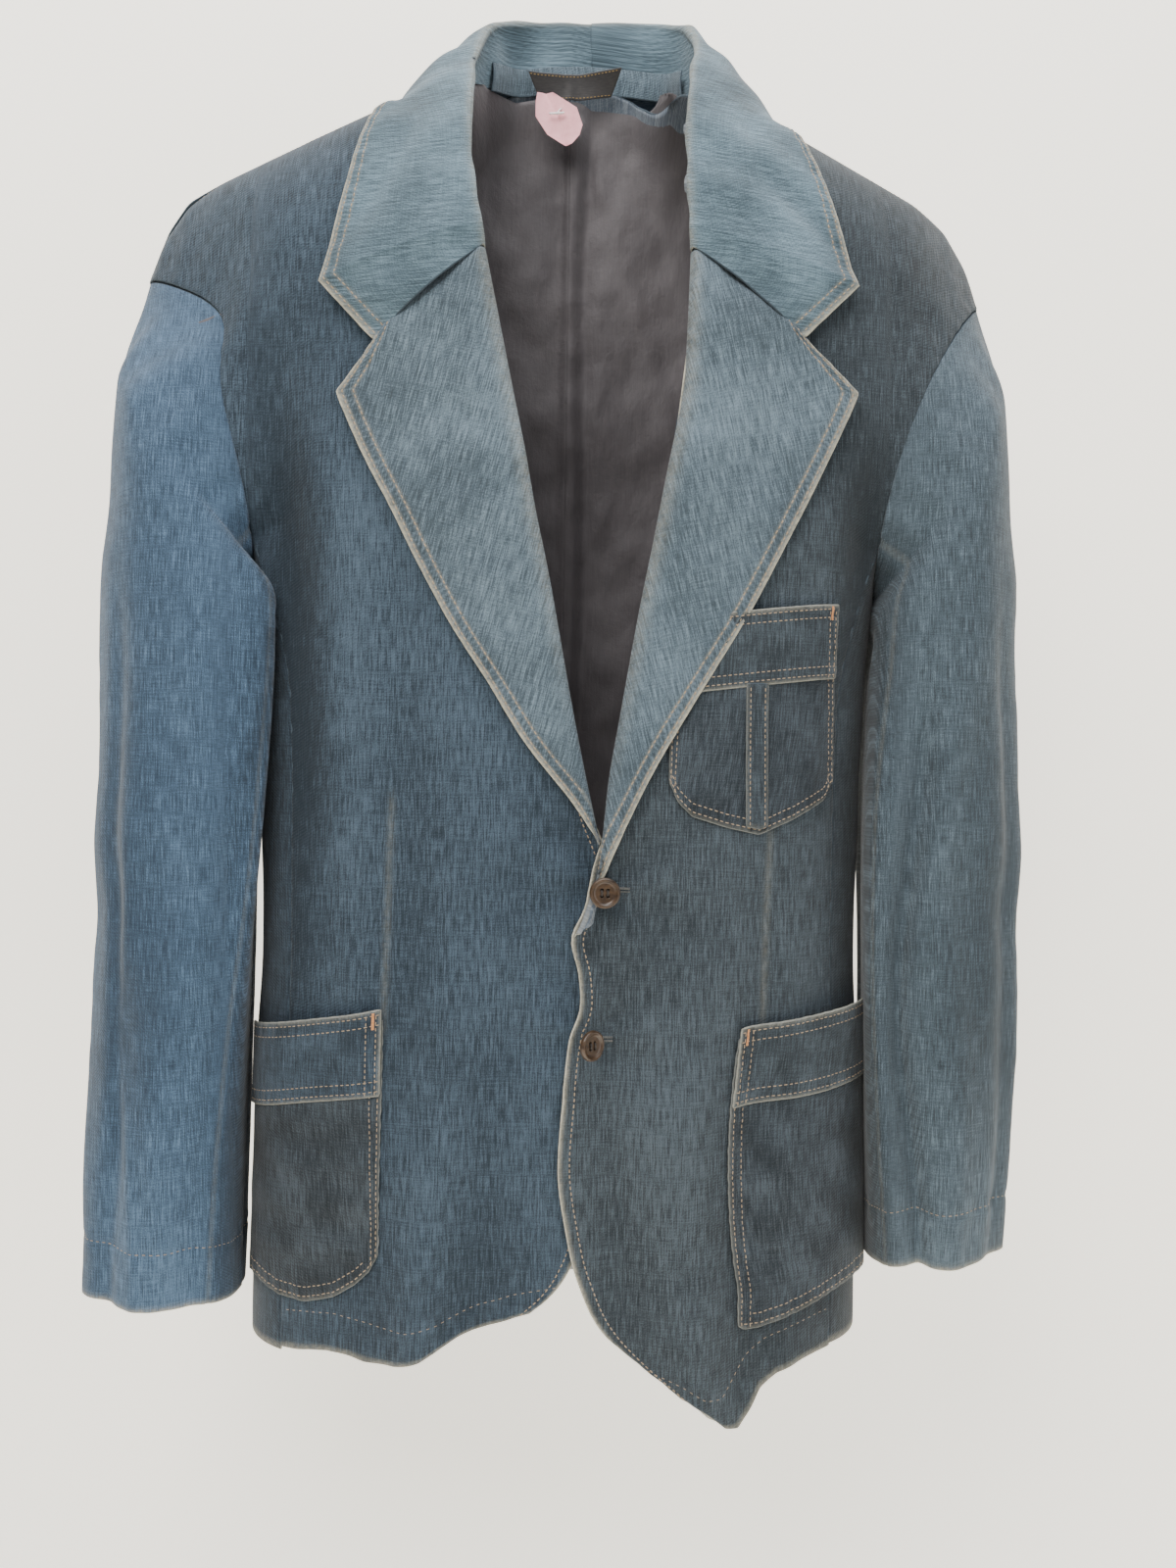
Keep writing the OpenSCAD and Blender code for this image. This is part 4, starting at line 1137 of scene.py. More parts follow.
for s, key in SIDES:
    o = LIFT[s]
    F, E, B = [spline(p, 170) for p in COLLAR[s]]
    gi, notch, _ = [np.array(p, float) for p in GORGE[s]]
    k = 46
    t = np.linspace(0, 1, k + 1)[1:, None]
    surf = lambda p, h: np.array([p[0], float(front_y(np.array(p[0]), np.array(p[1]), o)) - h, p[1]])
    Fe = F[-1] + (surf(gi + [0, 1.5], 4.3) - F[-1]) * t
    Ee = E[-1] + (surf(notch + [0, 1.5], 4.1) - E[-1]) * t
    Be = B[-1] + (surf(gi + [s * 10, 2], -4.0) - B[-1]) * t
    F, E, B = np.concatenate([F, Fe]), np.concatenate([E, Ee]), np.concatenate([B, Be])
    tang = unit(np.gradient(F, axis=0))
    tang[-k - 6:] = tang[-k - 7]
    L = np.linalg.norm(E - F, axis=1, keepdims=True)
    d = (E - F) / L
    nrm = unit(np.cross(tang, d))
    ctr = np.array([14.0, -10.0, -30.0])
    sign = np.where(np.sum(nrm * (F - ctr), 1, keepdims=True) < 0, -1.0, 1.0)
    nrm = nrm * sign
    r = 3.6
    pts = [B, B * 0.55 + (F - nrm * 1.3 * r + d * 2.2 * r) * 0.45, F - nrm * 1.25 * r + d * 2.0 * r,
           F - nrm * 0.85 * r + d * 0.45 * r, F, F + nrm * 0.85 * r + d * 1.0 * r,
           F + nrm * 1.9 * r + d * 0.35 * L, F + nrm * 1.5 * r + d * 0.7 * L, E]
    cols = []
    for i in range(len(F)):
        cols.append(spline([p[i] for p in pts], 150))
    P = np.stack(cols)
    # the leaf drapes over the front and the shoulder
    lie = front_y(P[..., 0], P[..., 2], o, folds=False) - 4.5
    gap = P[..., 1] - lie
    push = np.where(gap > 0, gap, 0) * smooth(0, 6, shoulder(np.abs(P[..., 0])) - P[..., 2]) * (P[...,
        1] < 14)
    leaf = smooth(96, 116, np.arange(P.shape[1]))[None, :]
    g = kernel(17)
    push = push * leaf
    wide = np.pad(push, ((8, 8), (0, 0)), mode="edge")
    P[..., 1] -= np.maximum(sum(g[i] * wide[i:i + len(push)] for i in range(17)), push)
    N, _, _ = normals(P)
    if np.mean(np.sum(N[:, 100:] * nrm[:, None], -1)) < 0:
        N = -N
    U, V = arc(P, 1), arc(P, 0)
    dist = U[:, -1:] - U
    for c in ROWS:
        P = P - N * (0.45 * bump(dist - c, 0.9))[..., None]
    P = P + N * (0.45 * np.sin(V / 2.2 + 1.4 * np.sin(V / 15)) * np.exp(-((dist - 6) / 6) ** 2))[..., None]
    P = P + N * (0.9 * waves(90 + s, 42)(V, U) * smooth(3, 16, dist) * smooth(0, 20, U))[..., None]
    uv = np.stack([U * 0.93 + V * 0.12 + 200, P[..., 2] + 0.12 * np.abs(P[..., 0]) + 300 - 0.3 * P[..., 1]],
                  -1)
    wear = np.maximum(np.exp(-(dist / 1.4) ** 1.5), 0.4 * bump(dist - ROWS[0], 0.9))
    wear = np.maximum(wear, 0.25 * bump(dist - ROWS[1], 1.0))
    apex = np.argmin(np.linalg.norm(P - F[:, None], axis=-1), axis=1)
    uf = np.take_along_axis(U, apex[:, None], 1)
    wear = np.maximum(wear, 0.35 * bump(U - uf, 4.0))
    tone_and_shade = 0.25 * waves(94 + s, 60)(V, U) - 0.25 * np.exp(-(dist / 13) ** 2)
    ob, N = shell(f"{key}_collar_cloth", P, cloth(M_COLLAR), uv=uv, wear=wear, tone_and_shade=tone_and_shade, t=1.5,
                  edge=np.stack([V, dist], -1), facing=lambda p: nrm[:,
                      None] * (np.arange(p.shape[1]) > 100)[None, :, None])
    COL[s] = (P, N, ob)
    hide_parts(f"{key}_collar_end", *(["back_collar"] if s > 0 else []))
    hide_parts(f"{key}_lapel")

# the stand: a band of denim inside the back of the neck, with the label sewn below it
Bc = np.concatenate([spline(COLLAR[-1][2][:4], 60)[::-1], spline(COLLAR[1][2][:4], 60)[1:]])
up = np.concatenate([spline(COLLAR[-1][0][:4], 60)[::-1], spline(COLLAR[1][0][:4], 60)[1:]]) - Bc
inward = unit(np.array([14, 0, 0]) - Bc * [1, 1, 0])
rows = []
for f in np.linspace(-0.2, 1, 24):
    rows.append(Bc + inward * (3.4 + 0.8 * math.sin(f * 3.1)) + up * 0.02 + np.array([0, 0, 1]) * (15 * f))
P = np.stack(rows)
stand_ob, N = shell("collar_stand_cloth", P, cloth(M_LAPEL), facing=inward[None] + 0 * P, t=0.9)
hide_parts("collar_stand")

# ---------------------------------------------------------------- pockets
POCKET = {
    -1: dict(top=lambda x: -596 + 15 * (172 - x) / 75, band=47,
             bottom=table([(90, -697), (97, -700), (101, -720), (106, -730), (114, -738), (126, -746),
                           (143, -751), (160, -750), (176, -745)])),
    1: dict(top=lambda x: -592 + 11 * (x - 99) / 75, band=45,
            bottom=table([(90, -745), (96, -748), (99, -757), (106, -763), (114, -763), (127, -760),
                          (145, -754), (162, -748), (178, -744)]))}
PK = {}
for s, key in SIDES:
    o = LIFT[s]
    q = POCKET[s]
    a = np.radians(np.linspace(27.4, 77, 100))[None, :]

    def on_body(zz, off):
        p = flank(s, a, zz, o + off)
        p[..., 1] -= front_disp(p[..., 0], p[..., 2])
        return p
    x_ref = np.abs(flank(s, a, np.full_like(a, -650.0), o)[..., 0])
    top, bot = q["top"](x_ref), q["bottom"](x_ref)
    v = np.linspace(0, 1, 120)[:, None]
    zz = bot + (top - 6 - bot) * v
    arch = np.sin(np.clip((np.degrees(a) - 27.4) / 49, 0, 1) * math.pi)
    puff = 1.4 * arch * smooth(0, 0.2, v)
    P = on_body(zz, 1.9 + puff)
    P[..., 1] -= 0.7 * waves(110 + s, 34)(P[..., 0], P[..., 2]) * smooth(0, 0.1, v)
    inward = 1 - smooth(0, 1, np.linspace(0, 1, P.shape[1]))[None]
    if s > 0:
        P[..., 0] -= (3.5 + 6.5 * np.sin(math.pi * np.clip(1.15 * (1 - v), 0, 1)) ** 0.8) * inward
        P[..., 1] = np.minimum(P[..., 1], front_y(P[..., 0], P[..., 2], o) - 2.2)
    N = faced(P, -1)
    for side, sd in (("left", 1), ("bottom", 2)):
        P = pucker(P, N, side, reach=8, amp=0.4, wave=8, seed=20 + sd + s, offset=4)
    g = edge_mask(P, left=1.6, bottom=1.8)
    uv = np.stack([arc(P, 1) + 400, P[..., 2] + UV_UP], -1)
    bag, N = shell(f"{key}_pocket_cloth", P, cloth(M_POCKET), facing=(0, -1, 0), uv=uv, wear=0.18 * g,
                   tone_and_shade=0.3 * waves(115 + s, 40)(P[..., 0], P[..., 2]), t=1.2)
    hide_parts(f"{key}_pocket_bag")
    Pb, Nb = P, N
    v = np.linspace(0, 1, 48)[:, None]
    zz = (top - q["band"]) + q["band"] * v
    sag = 0.9 * np.sin(x_ref / 16 + s)
    P = on_body(zz + sag * (1 - v), 3.7 + 1.2 * arch + 1.8 * v * arch)
    if s > 0:
        P[..., 0] -= (3.5 + 5 * (1 - v)) * inward
        P[..., 1] = np.minimum(P[..., 1], front_y(P[..., 0], P[..., 2], o) - 4.0)
    N = faced(P, -1)
    for side, sd in (("left", 1), ("bottom", 2), ("top", 3)):
        P = pucker(P, N, side, reach=6, amp=0.35, wave=7, seed=30 + sd + s, offset=4)
    g = edge_mask(P, left=1.0, bottom=1.0, top=1.5)
    uv = np.stack([arc(P, 1) + 700, P[..., 2] + UV_UP], -1)
    band, N = shell(f"{key}_pocket_band_cloth", P, cloth(BODY[s]), facing=(0, -1, 0), uv=uv,
                    wear=0.35 * g, tone_and_shade=0.2 * waves(125 + s, 30)(P[..., 0], P[..., 2]), t=1.4)
    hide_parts(f"{key}_pocket_band")
    PK[s] = (Pb, Nb, bag, P, N, band)

# breast pocket on the wearer's left
bot = table([(50, -448), (56, -450), (62, -463), (70, -471), (90, -477), (109, -481), (130, -472),
             (150, -461), (155, -452), (162, -447)])
u = np.linspace(0, 1, 96)[None, :]


def chest(x, z, off):
    return np.stack([x, front_y(x, z, 3.6) - off, z], -1)


v = np.linspace(0, 1, 90)[:, None]
x = 57 + 100 * u
top = -361 + 13 * u
z = bot(x) + (top - 6 - bot(x)) * v
P = chest(x + 0 * v, z, 1.9 + 1.2 * np.sin(math.pi * u) * smooth(0, 0.25, v))
P[..., 1] -= 0.5 * waves(131, 30)(P[..., 0], P[..., 2]) * smooth(0, 0.1, v)
N = faced(P, -1)
for side, sd in (("right", 1), ("bottom", 2)):
    P = pucker(P, N, side, reach=8, amp=0.35, wave=8, seed=60 + sd, offset=4)
uv = np.stack([arc(P, 1) + 100, P[..., 2] + UV_UP], -1)
bp, N = shell("breast_pocket_cloth", P, cloth(M_POCKET), facing=(0, -1, 0), uv=uv,
              wear=0.18 * edge_mask(P, left=1.4, right=1.4, bottom=1.4), t=1.1,
              tone_and_shade=0.3 * waves(133, 40)(P[..., 0], P[..., 2]))
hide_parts("breast_pocket_bag")
BPK = (P, N)
v = np.linspace(0, 1, 46)[:, None]
z = (top - 42) + 42 * v + 0 * x
P = chest(x + 0 * v, z, 3.9 + 1.4 * np.sin(math.pi * u) * v)
N = faced(P, -1)
for side, sd in (("right", 1), ("bottom", 2), ("top", 3)):
    P = pucker(P, N, side, reach=6, amp=0.3, wave=7, seed=70 + sd, offset=4)
uv = np.stack([arc(P, 1) + UV_UP, P[..., 2] + UV_UP], -1)
bb, N = shell("breast_pocket_band_cloth", P, cloth(M_BODY_L), facing=(0, -1, 0), uv=uv, t=1.3,
              wear=0.35 * edge_mask(P, left=1.0, right=1.0, bottom=1.0, top=1.5),
              tone_and_shade=0.2 * waves(137, 30)(P[..., 0], P[..., 2]))
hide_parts("breast_pocket_band")
BBD = (P, N)
u2 = np.linspace(0, 1, 16)[None, :]
v2 = np.linspace(0, 1, 70)[:, None]
x = 101 + 12.5 * u2 + 0 * v2
z = bot(x) + 3 + (-399 - bot(x)) * v2
P = chest(x, z, 4.4 + 0.4 * np.sin(math.pi * u2) + 0 * v2)
uv = np.stack([arc(P, 1) + 50, P[..., 2] + UV_UP], -1)
strip, N = shell("breast_pocket_strip_cloth", P, cloth(M_BODY_L), facing=(0, -1, 0), uv=uv, t=1.0,
                 wear=0.15 * edge_mask(P, left=1.3, right=1.3, bottom=1.5), tone_and_shade=0 * x)
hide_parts("breast_pocket_strip")
STR = (P, N)

# ---------------------------------------------------------------- linings and facings
def between(inner, outer, n):
    """Grids of x and z that run in n columns from one edge line to the other."""
    u = np.linspace(0, 1, n)[None, :]
    return [inner[:, None, c] * (1 - u) + outer[:, None, c] * u for c in (0, 1)]


L1, L2, L3 = waves(151, 90, stretch=(1, 1.5)), waves(152, 32, stretch=(1, 1.3)), waves(153, 11)


def lining_disp(x, z):
    d = 2.2 * L1(x, z) + 1.0 * L2(x, z) + 0.22 * L3(x, z)
    # centre pleat, deepest at the neck
    c = 7 + 0.012 * z + 2.5 * np.sin(z / 70)
    d = d + 4.2 * bump(x - c, 5) - 3.0 * bump(x - c - 9, 5) - 1.5 * bump(x - c + 12, 7)
    # pulls that slant from the neck to the underarms
    for sx in (-1, 1):
        for k in range(3):
            line = np.abs(x) - 20 - 34 * k + 0.30 * (z + 40) * (1 + 0.2 * k)
            d = d + 1.5 * bump(line, 7 + 2 * k) * (np.sign(x) == sx) * smooth(-520, -380,
                z) * (1 - smooth(-60, 0, z))
    return d


for s, key in SIDES:
    inner = np.stack([np.full(200, 0.2 * s), np.linspace(-772, 13, 200)], -1)
    outer = resample(spline([(142, -772), (140, -700), (138, -600), (138, -500), (142, -400), (152, -335),
                             (196, -255), (214, -190), (206, -140), (160, -76), (110, -44), (66, -12)],
                             400), 200)
    outer[:, 0] *= s
    x, z = between(inner, outer, 110)
    ends = np.array(COLLAR[-1][2][:5])[::-1].tolist() + COLLAR[1][2][:5]
    brim = np.interp(x, [p[0] for p in ends], [p[2] for p in ends]) + 1.5
    z = np.minimum(z, brim - 0.15 * np.arange(199, -1, -1)[:, None])
    y = back_y(x, z) - 6.5 - 0.8 * np.clip(lining_disp(x, z), -6, 9) * smooth(0, 34, brim - z)
    w = (1 - smooth(0, 34, brim - z)) * (1 - smooth(68, 86, np.abs(x)))
    y = y * (1 - w) + (np.interp(x, [p[0] for p in ends], [p[1] for p in ends]) - 1) * w
    P = np.stack([x, y, z], -1)
    uv = np.stack([x + 300, z + UV_UP], -1)
    ob, N = shell(f"{key}_back_lining_cloth", P, [M_LINING] * 3, facing=(0, -1, 0), uv=uv, t=0.6)
    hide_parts(f"{key}_back_lining")
    inner = resample([(54, -752), (46, -700), (46, -600), (46, -520), (52, -460), (66, -372), (82, -290),
                      (96, -210), (100, -150)], 120)
    outer = resample([(140, -752), (140, -700), (139, -600), (139, -520), (141, -460), (145, -390),
                      (154, -335), (196, -255), (216, -190)], 120)
    x, z = between(inner, outer, 60)
    x = s * x
    y = front_y(x, z) + 6.0 + 0.5 * np.clip(lining_disp(x + 11, z), -4, 6)
    ob, N = shell(f"{key}_front_lining_cloth", np.stack([x, y, z], -1), [M_LINING] * 3,
                  facing=(0, 1, 0), uv=np.stack([x + 300, z + UV_UP], -1), t=0.6)
    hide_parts(f"{key}_front_lining")
    if s < 0:
        fi = [(-80, -772), (-24, -748), (4, -714), (20, -672), (24, -600), (24, -520), (9, -460),
              (-9, -372), (-27, -290), (-43, -210), (-54, -140)]
        fo = [(-90, -770), (-70, -746), (-52, -715), (-44, -670), (-42, -600), (-42, -520), (-48, -460),
              (-62, -372), (-78, -290), (-92, -210), (-102, -140)]
    else:
        fi = [(72, -794), (34, -764), (14, -728), (4, -690), (4, -640), (7, -600), (12, -560), (13, -535),
              (17, -515), (25, -470), (39, -372), (53, -290), (65, -210), (75, -140)]
        fo = [(90, -788), (76, -762), (70, -728), (66, -690), (64, -650), (62, -600), (60, -560),
              (60, -535), (62, -515), (68, -470),
              (84, -372), (98, -290), (110, -210), (118, -140)]
    inner, outer = resample(spline(fi, 300), 150), resample(spline(fo, 300), 150)
    x, z = between(inner, outer, 30)
    off = 3.1 if s < 0 else -0.55
    P = np.stack([x, front_y(x, z, 0.0) + off, z], -1)
    uv = np.stack([x + 300, z + UV_UP], -1)
    ob, N = shell(f"{key}_front_facing_cloth", P, cloth(BODY[s]), facing=(0, 1, 0), uv=uv, t=0.8)
    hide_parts(f"{key}_front_facing")
    # shoulder pad: a crescent of felt that thins towards its edges
    j, i = np.linspace(0, 1, 40)[:, None], np.linspace(-1, 1, 50)[None, :]
    xx = 128 + 92 * j + 0 * i
    aa = np.radians(62 * i)
    zt = shoulder(xx) - 15 - 30 * (1 - np.cos(aa)) - 0.6 * waves(160 + s, 16)(xx, 60 * i)
    th = 7.5 * np.sqrt(np.clip(1 - np.abs(i) ** 2.2, 0, 1)) * smooth(-0.08, 0.35, j) + 1.0
    top = np.stack([s * xx, 34 * np.sin(aa) * (1 - 0.6 * j), zt], -1)
    low = top - np.stack([0 * th, 0 * th, th], -1)
    k = 40 * 50
    idx = np.arange(k).reshape(40, 50)
    F4 = np.stack([idx[:-1, :-1], idx[:-1, 1:], idx[1:, 1:], idx[1:, :-1]], -1).reshape(-1, 4)
    bd = np.concatenate([idx[0, :-1], idx[:-1, -1], idx[-1, :0:-1], idx[:0:-1, 0]])
    b2 = np.roll(bd, -1)
    faces = F4.tolist() + (F4[:, ::-1] + k).tolist() + np.stack([b2, bd, bd + k, b2 + k], -1).tolist()
    pad = make(f"{key}_shoulder_pad_felt", np.concatenate([top.reshape(-1, 3), low.reshape(-1, 3)]), faces,
               [M_FELT])
    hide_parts(f"{key}_shoulder_pad")


# ---------------------------------------------------------------- buttons
def button(name, at, turn, ring=96):
    """A four-hole button with a raised rim; its back lies at y = 0 before it is turned."""
    rr = np.concatenate([np.linspace(0.001, 6.0, 34), np.linspace(6.15, 8.5, 18)])
    prof = np.interp(rr, [0, 5.4, 6.1, 6.9, 7.7, 8.3, 8.5], [2.15, 2.2, 2.5, 3.35, 3.4, 2.9, 2.1])
    th = np.linspace(0, 2 * math.pi, ring, endpoint=False)
    X, Z = rr[:, None] * np.cos(th), rr[:, None] * np.sin(th)
    Y = prof[:, None] + 0 * X
    for k in range(4):
        hx, hz = 2.35 * math.cos(math.pi * (0.25 + k / 2)), 2.35 * math.sin(math.pi * (0.25 + k / 2))
        Y -= 1.7 * (1 - smooth(0.75, 1.05, np.hypot(X - hx, Z - hz)))
    front = np.stack([X, -Y, Z], -1)
    back_r = np.array([8.5, 8.2, 7.4, 4.0, 0.001])
    back_y0 = np.array([1.1, 0.45, 0.15, 0.0, 0.0])
    back = np.stack([back_r[:, None] * np.cos(th), -back_y0[:, None] + 0 * th,
                     back_r[:, None] * np.sin(th)], -1)
    P = np.concatenate([front, back])
    m, n = P.shape[:2]
    idx = np.arange(m * n).reshape(m, n)
    q = np.stack([idx[:-1], idx[1:], np.roll(idx[1:], -1, 1), np.roll(idx[:-1], -1, 1)], -1).reshape(-1, 4)
    faces = q.tolist() + [idx[0, ::-1].tolist(), idx[-1].tolist()]
    V = P.reshape(-1, 3)
    R = np.array(Matrix.Rotation(turn, 3, "Z"))
    ob = make(name, V, faces, [M_BUTTON])
    for v in ob.data.vertices:
        v.co = Matrix(R.tolist()) @ v.co + Vector(at) / 1000
    return ob


def tube(path, rad, sides=10):
    path = np.asarray(path, float)
    d = unit(np.gradient(path, axis=0))
    ref = np.array([0.31, 0.2, 0.93])
    a = unit(np.cross(d, ref))
    b = np.cross(d, a)
    th = np.linspace(0, 2 * math.pi, sides, endpoint=False)
    rad = np.broadcast_to(np.asarray(rad, float), (len(path),))
    ring = path[:, None] + rad[:, None, None] * (a[:, None] * np.cos(th)[None, :, None] + b[:,
        None] * np.sin(th)[None, :, None])
    m = len(path)
    idx = np.arange(m * sides).reshape(m, sides)
    q = np.stack([idx[:-1], np.roll(idx[:-1], -1, 1), np.roll(idx[1:], -1, 1), idx[1:]], -1).reshape(-1, 4)
    return ring.reshape(-1, 3), q.tolist() + [idx[0, ::-1].tolist(), idx[-1].tolist()]


def merge(parts):
    V, F, base = [], [], 0
    for v, f in parts:
        V.append(v)
        F += [[i + base for i in q] for q in f]
        base += len(v)
    return np.concatenate(V), F


up_at, low_at, low_turn = np.array([21, -87.5, -514.0]), np.array([14, -88.5, -598.0]), math.radians(42)
b1 = button("upper_button_disc", up_at, 0.0)
b2 = button("lower_button_disc", low_at, low_turn)
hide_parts("upper_button")
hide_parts("lower_button")


def shank(name, at, turn, depth):
    """Dark thread: bars over the button's face between its holes, and a wound shank behind it."""
    parts = []
    R = np.array(Matrix.Rotation(turn, 3, "Z"))
    h = 2.35 * math.cos(math.pi / 4)
    for sx in (-1, 1):
        for off in (-0.32, 0.0, 0.32):
            z = np.linspace(-h, h, 9)
            y = -2.1 - 0.75 * np.sin((z + h) / (2 * h) * math.pi) ** 0.5 + abs(off) * 0.3
            y[0], y[-1] = -1.0, -1.0
            p = np.stack([sx * h + off + 0 * z, y, z], -1)
            parts.append(tube(p @ R.T + at, 0.26, 8))
    for k in range(7):
        t = np.linspace(0, 1, 14)
        a = k * 0.9 + t * 5
        y = 0.3 + depth * t
        p = np.stack([1.05 * np.cos(a), y, 1.05 * np.sin(a)], -1)
        parts.append(tube(p + at, 0.33, 6))
    V, F = merge(parts)
    return make(name, V, F, [M_DARKTHREAD])


t1 = shank("upper_button_thread_wound", up_at, 0.0, 5.0)
t2 = shank("lower_button_thread_wound", low_at, low_turn, 6.0)
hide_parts("upper_button_thread")
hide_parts("lower_button_thread")

# ---------------------------------------------------------------- label, tag and pin
u, v = np.linspace(0, 1, 60)[None, :], np.linspace(0, 1, 24)[:, None]
x = (-20 * (1 - v) - 28 * v) * (1 - u) + (27 * (1 - v) + 33 * v) * u
z = (3 * (1 - v) + 16 * v) + 1.5 * u - 1.2 * np.sin(math.pi * u) * (1 - v)
y = back_y(x, z) - 12.5 + 0.35 * np.sin(x / 5) + 0.06 * (x - 3) ** 2 / 10
P = np.stack([x, np.minimum(y, 51.5), z], -1)
label, N = shell("neck_label_blank", P, [M_LABEL] * 3, facing=(0, -1, 0), t=0.5)
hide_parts("neck_label")
LAB = (P, N)
u, v = np.linspace(0, 1, 60)[None, :], np.linspace(0, 1, 60)[:, None]
left = resample([(-5, -31), (-15, -25), (-23, -13), (-23, -3), (-22, 3)], 60)
right = resample([(1, -31), (6, -25), (8, -18), (4, -6), (-12, 4)], 60)
x = left[:, None, 0] * (1 - u) + right[:, None, 0] * u
z = left[:, None, 1] * (1 - u) + right[:, None, 1] * u
fold = np.abs(u - 0.42 - 0.15 * v)
y = 46.5 - 5.0 * fold - 1.6 * (1 - v) + 0.35 * np.sin(5 * u + 3 * v) + 0 * u
P = np.stack([x, y, z], -1)
tag, N = shell("paper_tag_folded", P, [M_TAG] * 3, facing=(0, -1, 0), t=0.25)
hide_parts("paper_tag")
pin_v, pin_f = merge([tube(spline([(-4, 49.8, -3), (-5, 47.0, -5), (-7, 43.5, -8), (-9, 42.8, -11)], 24),
                           0.5, 10),
                      tube(spline([(-14, 42.4, -11.6), (-9, 42.4, -11.2), (-4, 42.4, -10.6)], 12), 0.75, 10)])
pin = make("tag_pin_barb", pin_v, pin_f, [M_PIN])
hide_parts("tag_pin")

# ---------------------------------------------------------------- stitching
for s, key in SIDES:
    P, N, ob, f0, dist, S = LAP[s]
    for off in ROWS:
        stitches(f"{key}_lapel", *inset(P, N, "right", off, 0.03 if off < 5 else 0.09, 1.0))
    P, N, ob = COL[s]
    for off in ROWS:
        stitches(f"{key}_collar", *inset(P, N, "right", off))
    P, N, ob = FRONT[s]
    grp = f"{key}_front"
    stitches(grp, *inset(P, N, "left", 6.0, 0.0, 0.42 if s > 0 else 0.46))
    stitches(grp, *inset(P, N, "bottom", HEM), length=2.8, gap=1.6, r=0.2, sink=0.15)
    line, nor = inset(P, N, "top", 2.2)
    stitches(grp, line[8:], nor[8:], length=2.3, gap=0.9, r=0.2, sink=0.12)
    P, N, ob = BACK[s]
    stitches(f"{key}_back", *inset(P, N, "bottom", HEM), length=2.8, gap=1.6, r=0.2, sink=0.15)
    stitches(f"{key}_back", *inset(P, N, "left", 3.0), length=2.5, gap=0.9, r=0.22, sink=0.1)
    Pb, Nb, bag, P, N, band = PK[s]
    for off in (2.4, 8.0):
        for side, a0, b0 in (("left", 0.0, 0.82), ("bottom", 0.0, 1.0)):
            line, nor = inset(Pb, Nb, side, off, a0, b0)
            keep = np.ones(len(line), bool)
            if side == "bottom":
                keep = np.abs(line[:, 0]) > np.abs(Pb[0, 0, 0]) + off * 0.9
            stitches(f"{key}_pocket", line[keep], nor[keep], r=0.26)
        for side in ("top", "bottom"):
            stitches(f"{key}_pocket_band", *inset(P, N, side, off), r=0.26)
        stitches(f"{key}_pocket_band", *inset(P, N, "left", off), r=0.26)
    # bartack: dense stitches side by side at the pocket's corner
    for k in range(15):
        p0, n0 = inset(P, N, "top", 1.2 + 0.62 * k)
        stitches(f"{key}_tack", p0[2:6] if len(p0) > 6 else p0, n0[2:6] if len(n0) > 6 else n0, length=2.2,
                 gap=0.4, r=0.36)
    P, N, ob, deg = SLV[s]
    V = arc(P, 0)
    ring_p, ring_n = [], []
    for j in list(range(P.shape[1])) + [0]:
        c = V[-1, j] - 32
        ring_p.append([np.interp(c, V[:, j], P[:, j, k]) for k in range(3)])
        ring_n.append([np.interp(c, V[:, j], N[:, j, k]) for k in range(3)])
    stitches(f"{key}_sleeve", ring_p, unit(np.array(ring_n)), length=2.6, gap=1.2, r=0.22, sink=0.1)
for (P, N), sides in ((BPK, ("left", "right", "bottom")), (BBD, ("left", "right", "top", "bottom"))):
    for side in sides:
        for off in (2.2, 7.0):
            stitches("breast_pocket", *inset(P, N, side, off, 0.0,
                     0.85 if (side in ("left", "right") and P is BPK[0]) else 1.0), r=0.25)
for side in ("left", "right"):
    stitches("breast_pocket", *inset(STR[0], STR[1], side, 2.0), r=0.24)
for k in range(13):
    p0, n0 = inset(BBD[0], BBD[1], "top", 1.0 + 0.62 * k)
    stitches("breast_tack", p0[-6:-2], n0[-6:-2], length=2.2, gap=0.4, r=0.34)
stitches("label", *inset(LAB[0], LAB[1], "top", 1.2), length=1.8, gap=0.6, r=0.22)
stitches("label", *inset(LAB[0], LAB[1], "bottom", 1.2), length=1.8, gap=0.6, r=0.22)
# buttonhole: bars of thread side by side round a slit
P, N, ob = FRONT[1]
for zc, x0, x1 in ((-513.2, 28.5, 36), (-597, 19, 28)):
    for k in range(int((x1 - x0) / 0.62)):
        xx = x0 + 0.62 * k
        for sg in (-1, 1):
            p, n = trace(P, N, np.array([xx, xx]), np.array([zc + sg * 0.3, zc + sg * 1.9]), step=0.8)
            stitches("buttonhole", p, n, length=1.5, gap=0.0, r=0.3, sink=-0.1)


def bend(ob, kind):
    if kind == "sleeve":
        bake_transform(ob)
    elif kind == "leaf":
        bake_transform(ob)
    elif kind == "corner":
        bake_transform(ob)
    elif kind == "lip":
        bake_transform(ob)
    return ob


STEMS = {}
for g in list(THREADS):
    mat = M_TACK if "tack" in g else {"label": M_LABELTHREAD, "buttonhole": M_HOLE}.get(g, M_THREAD)
    STEMS[g] = build_threads(g + "_stitching", g, mat)
    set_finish(STEMS[g], "thread")

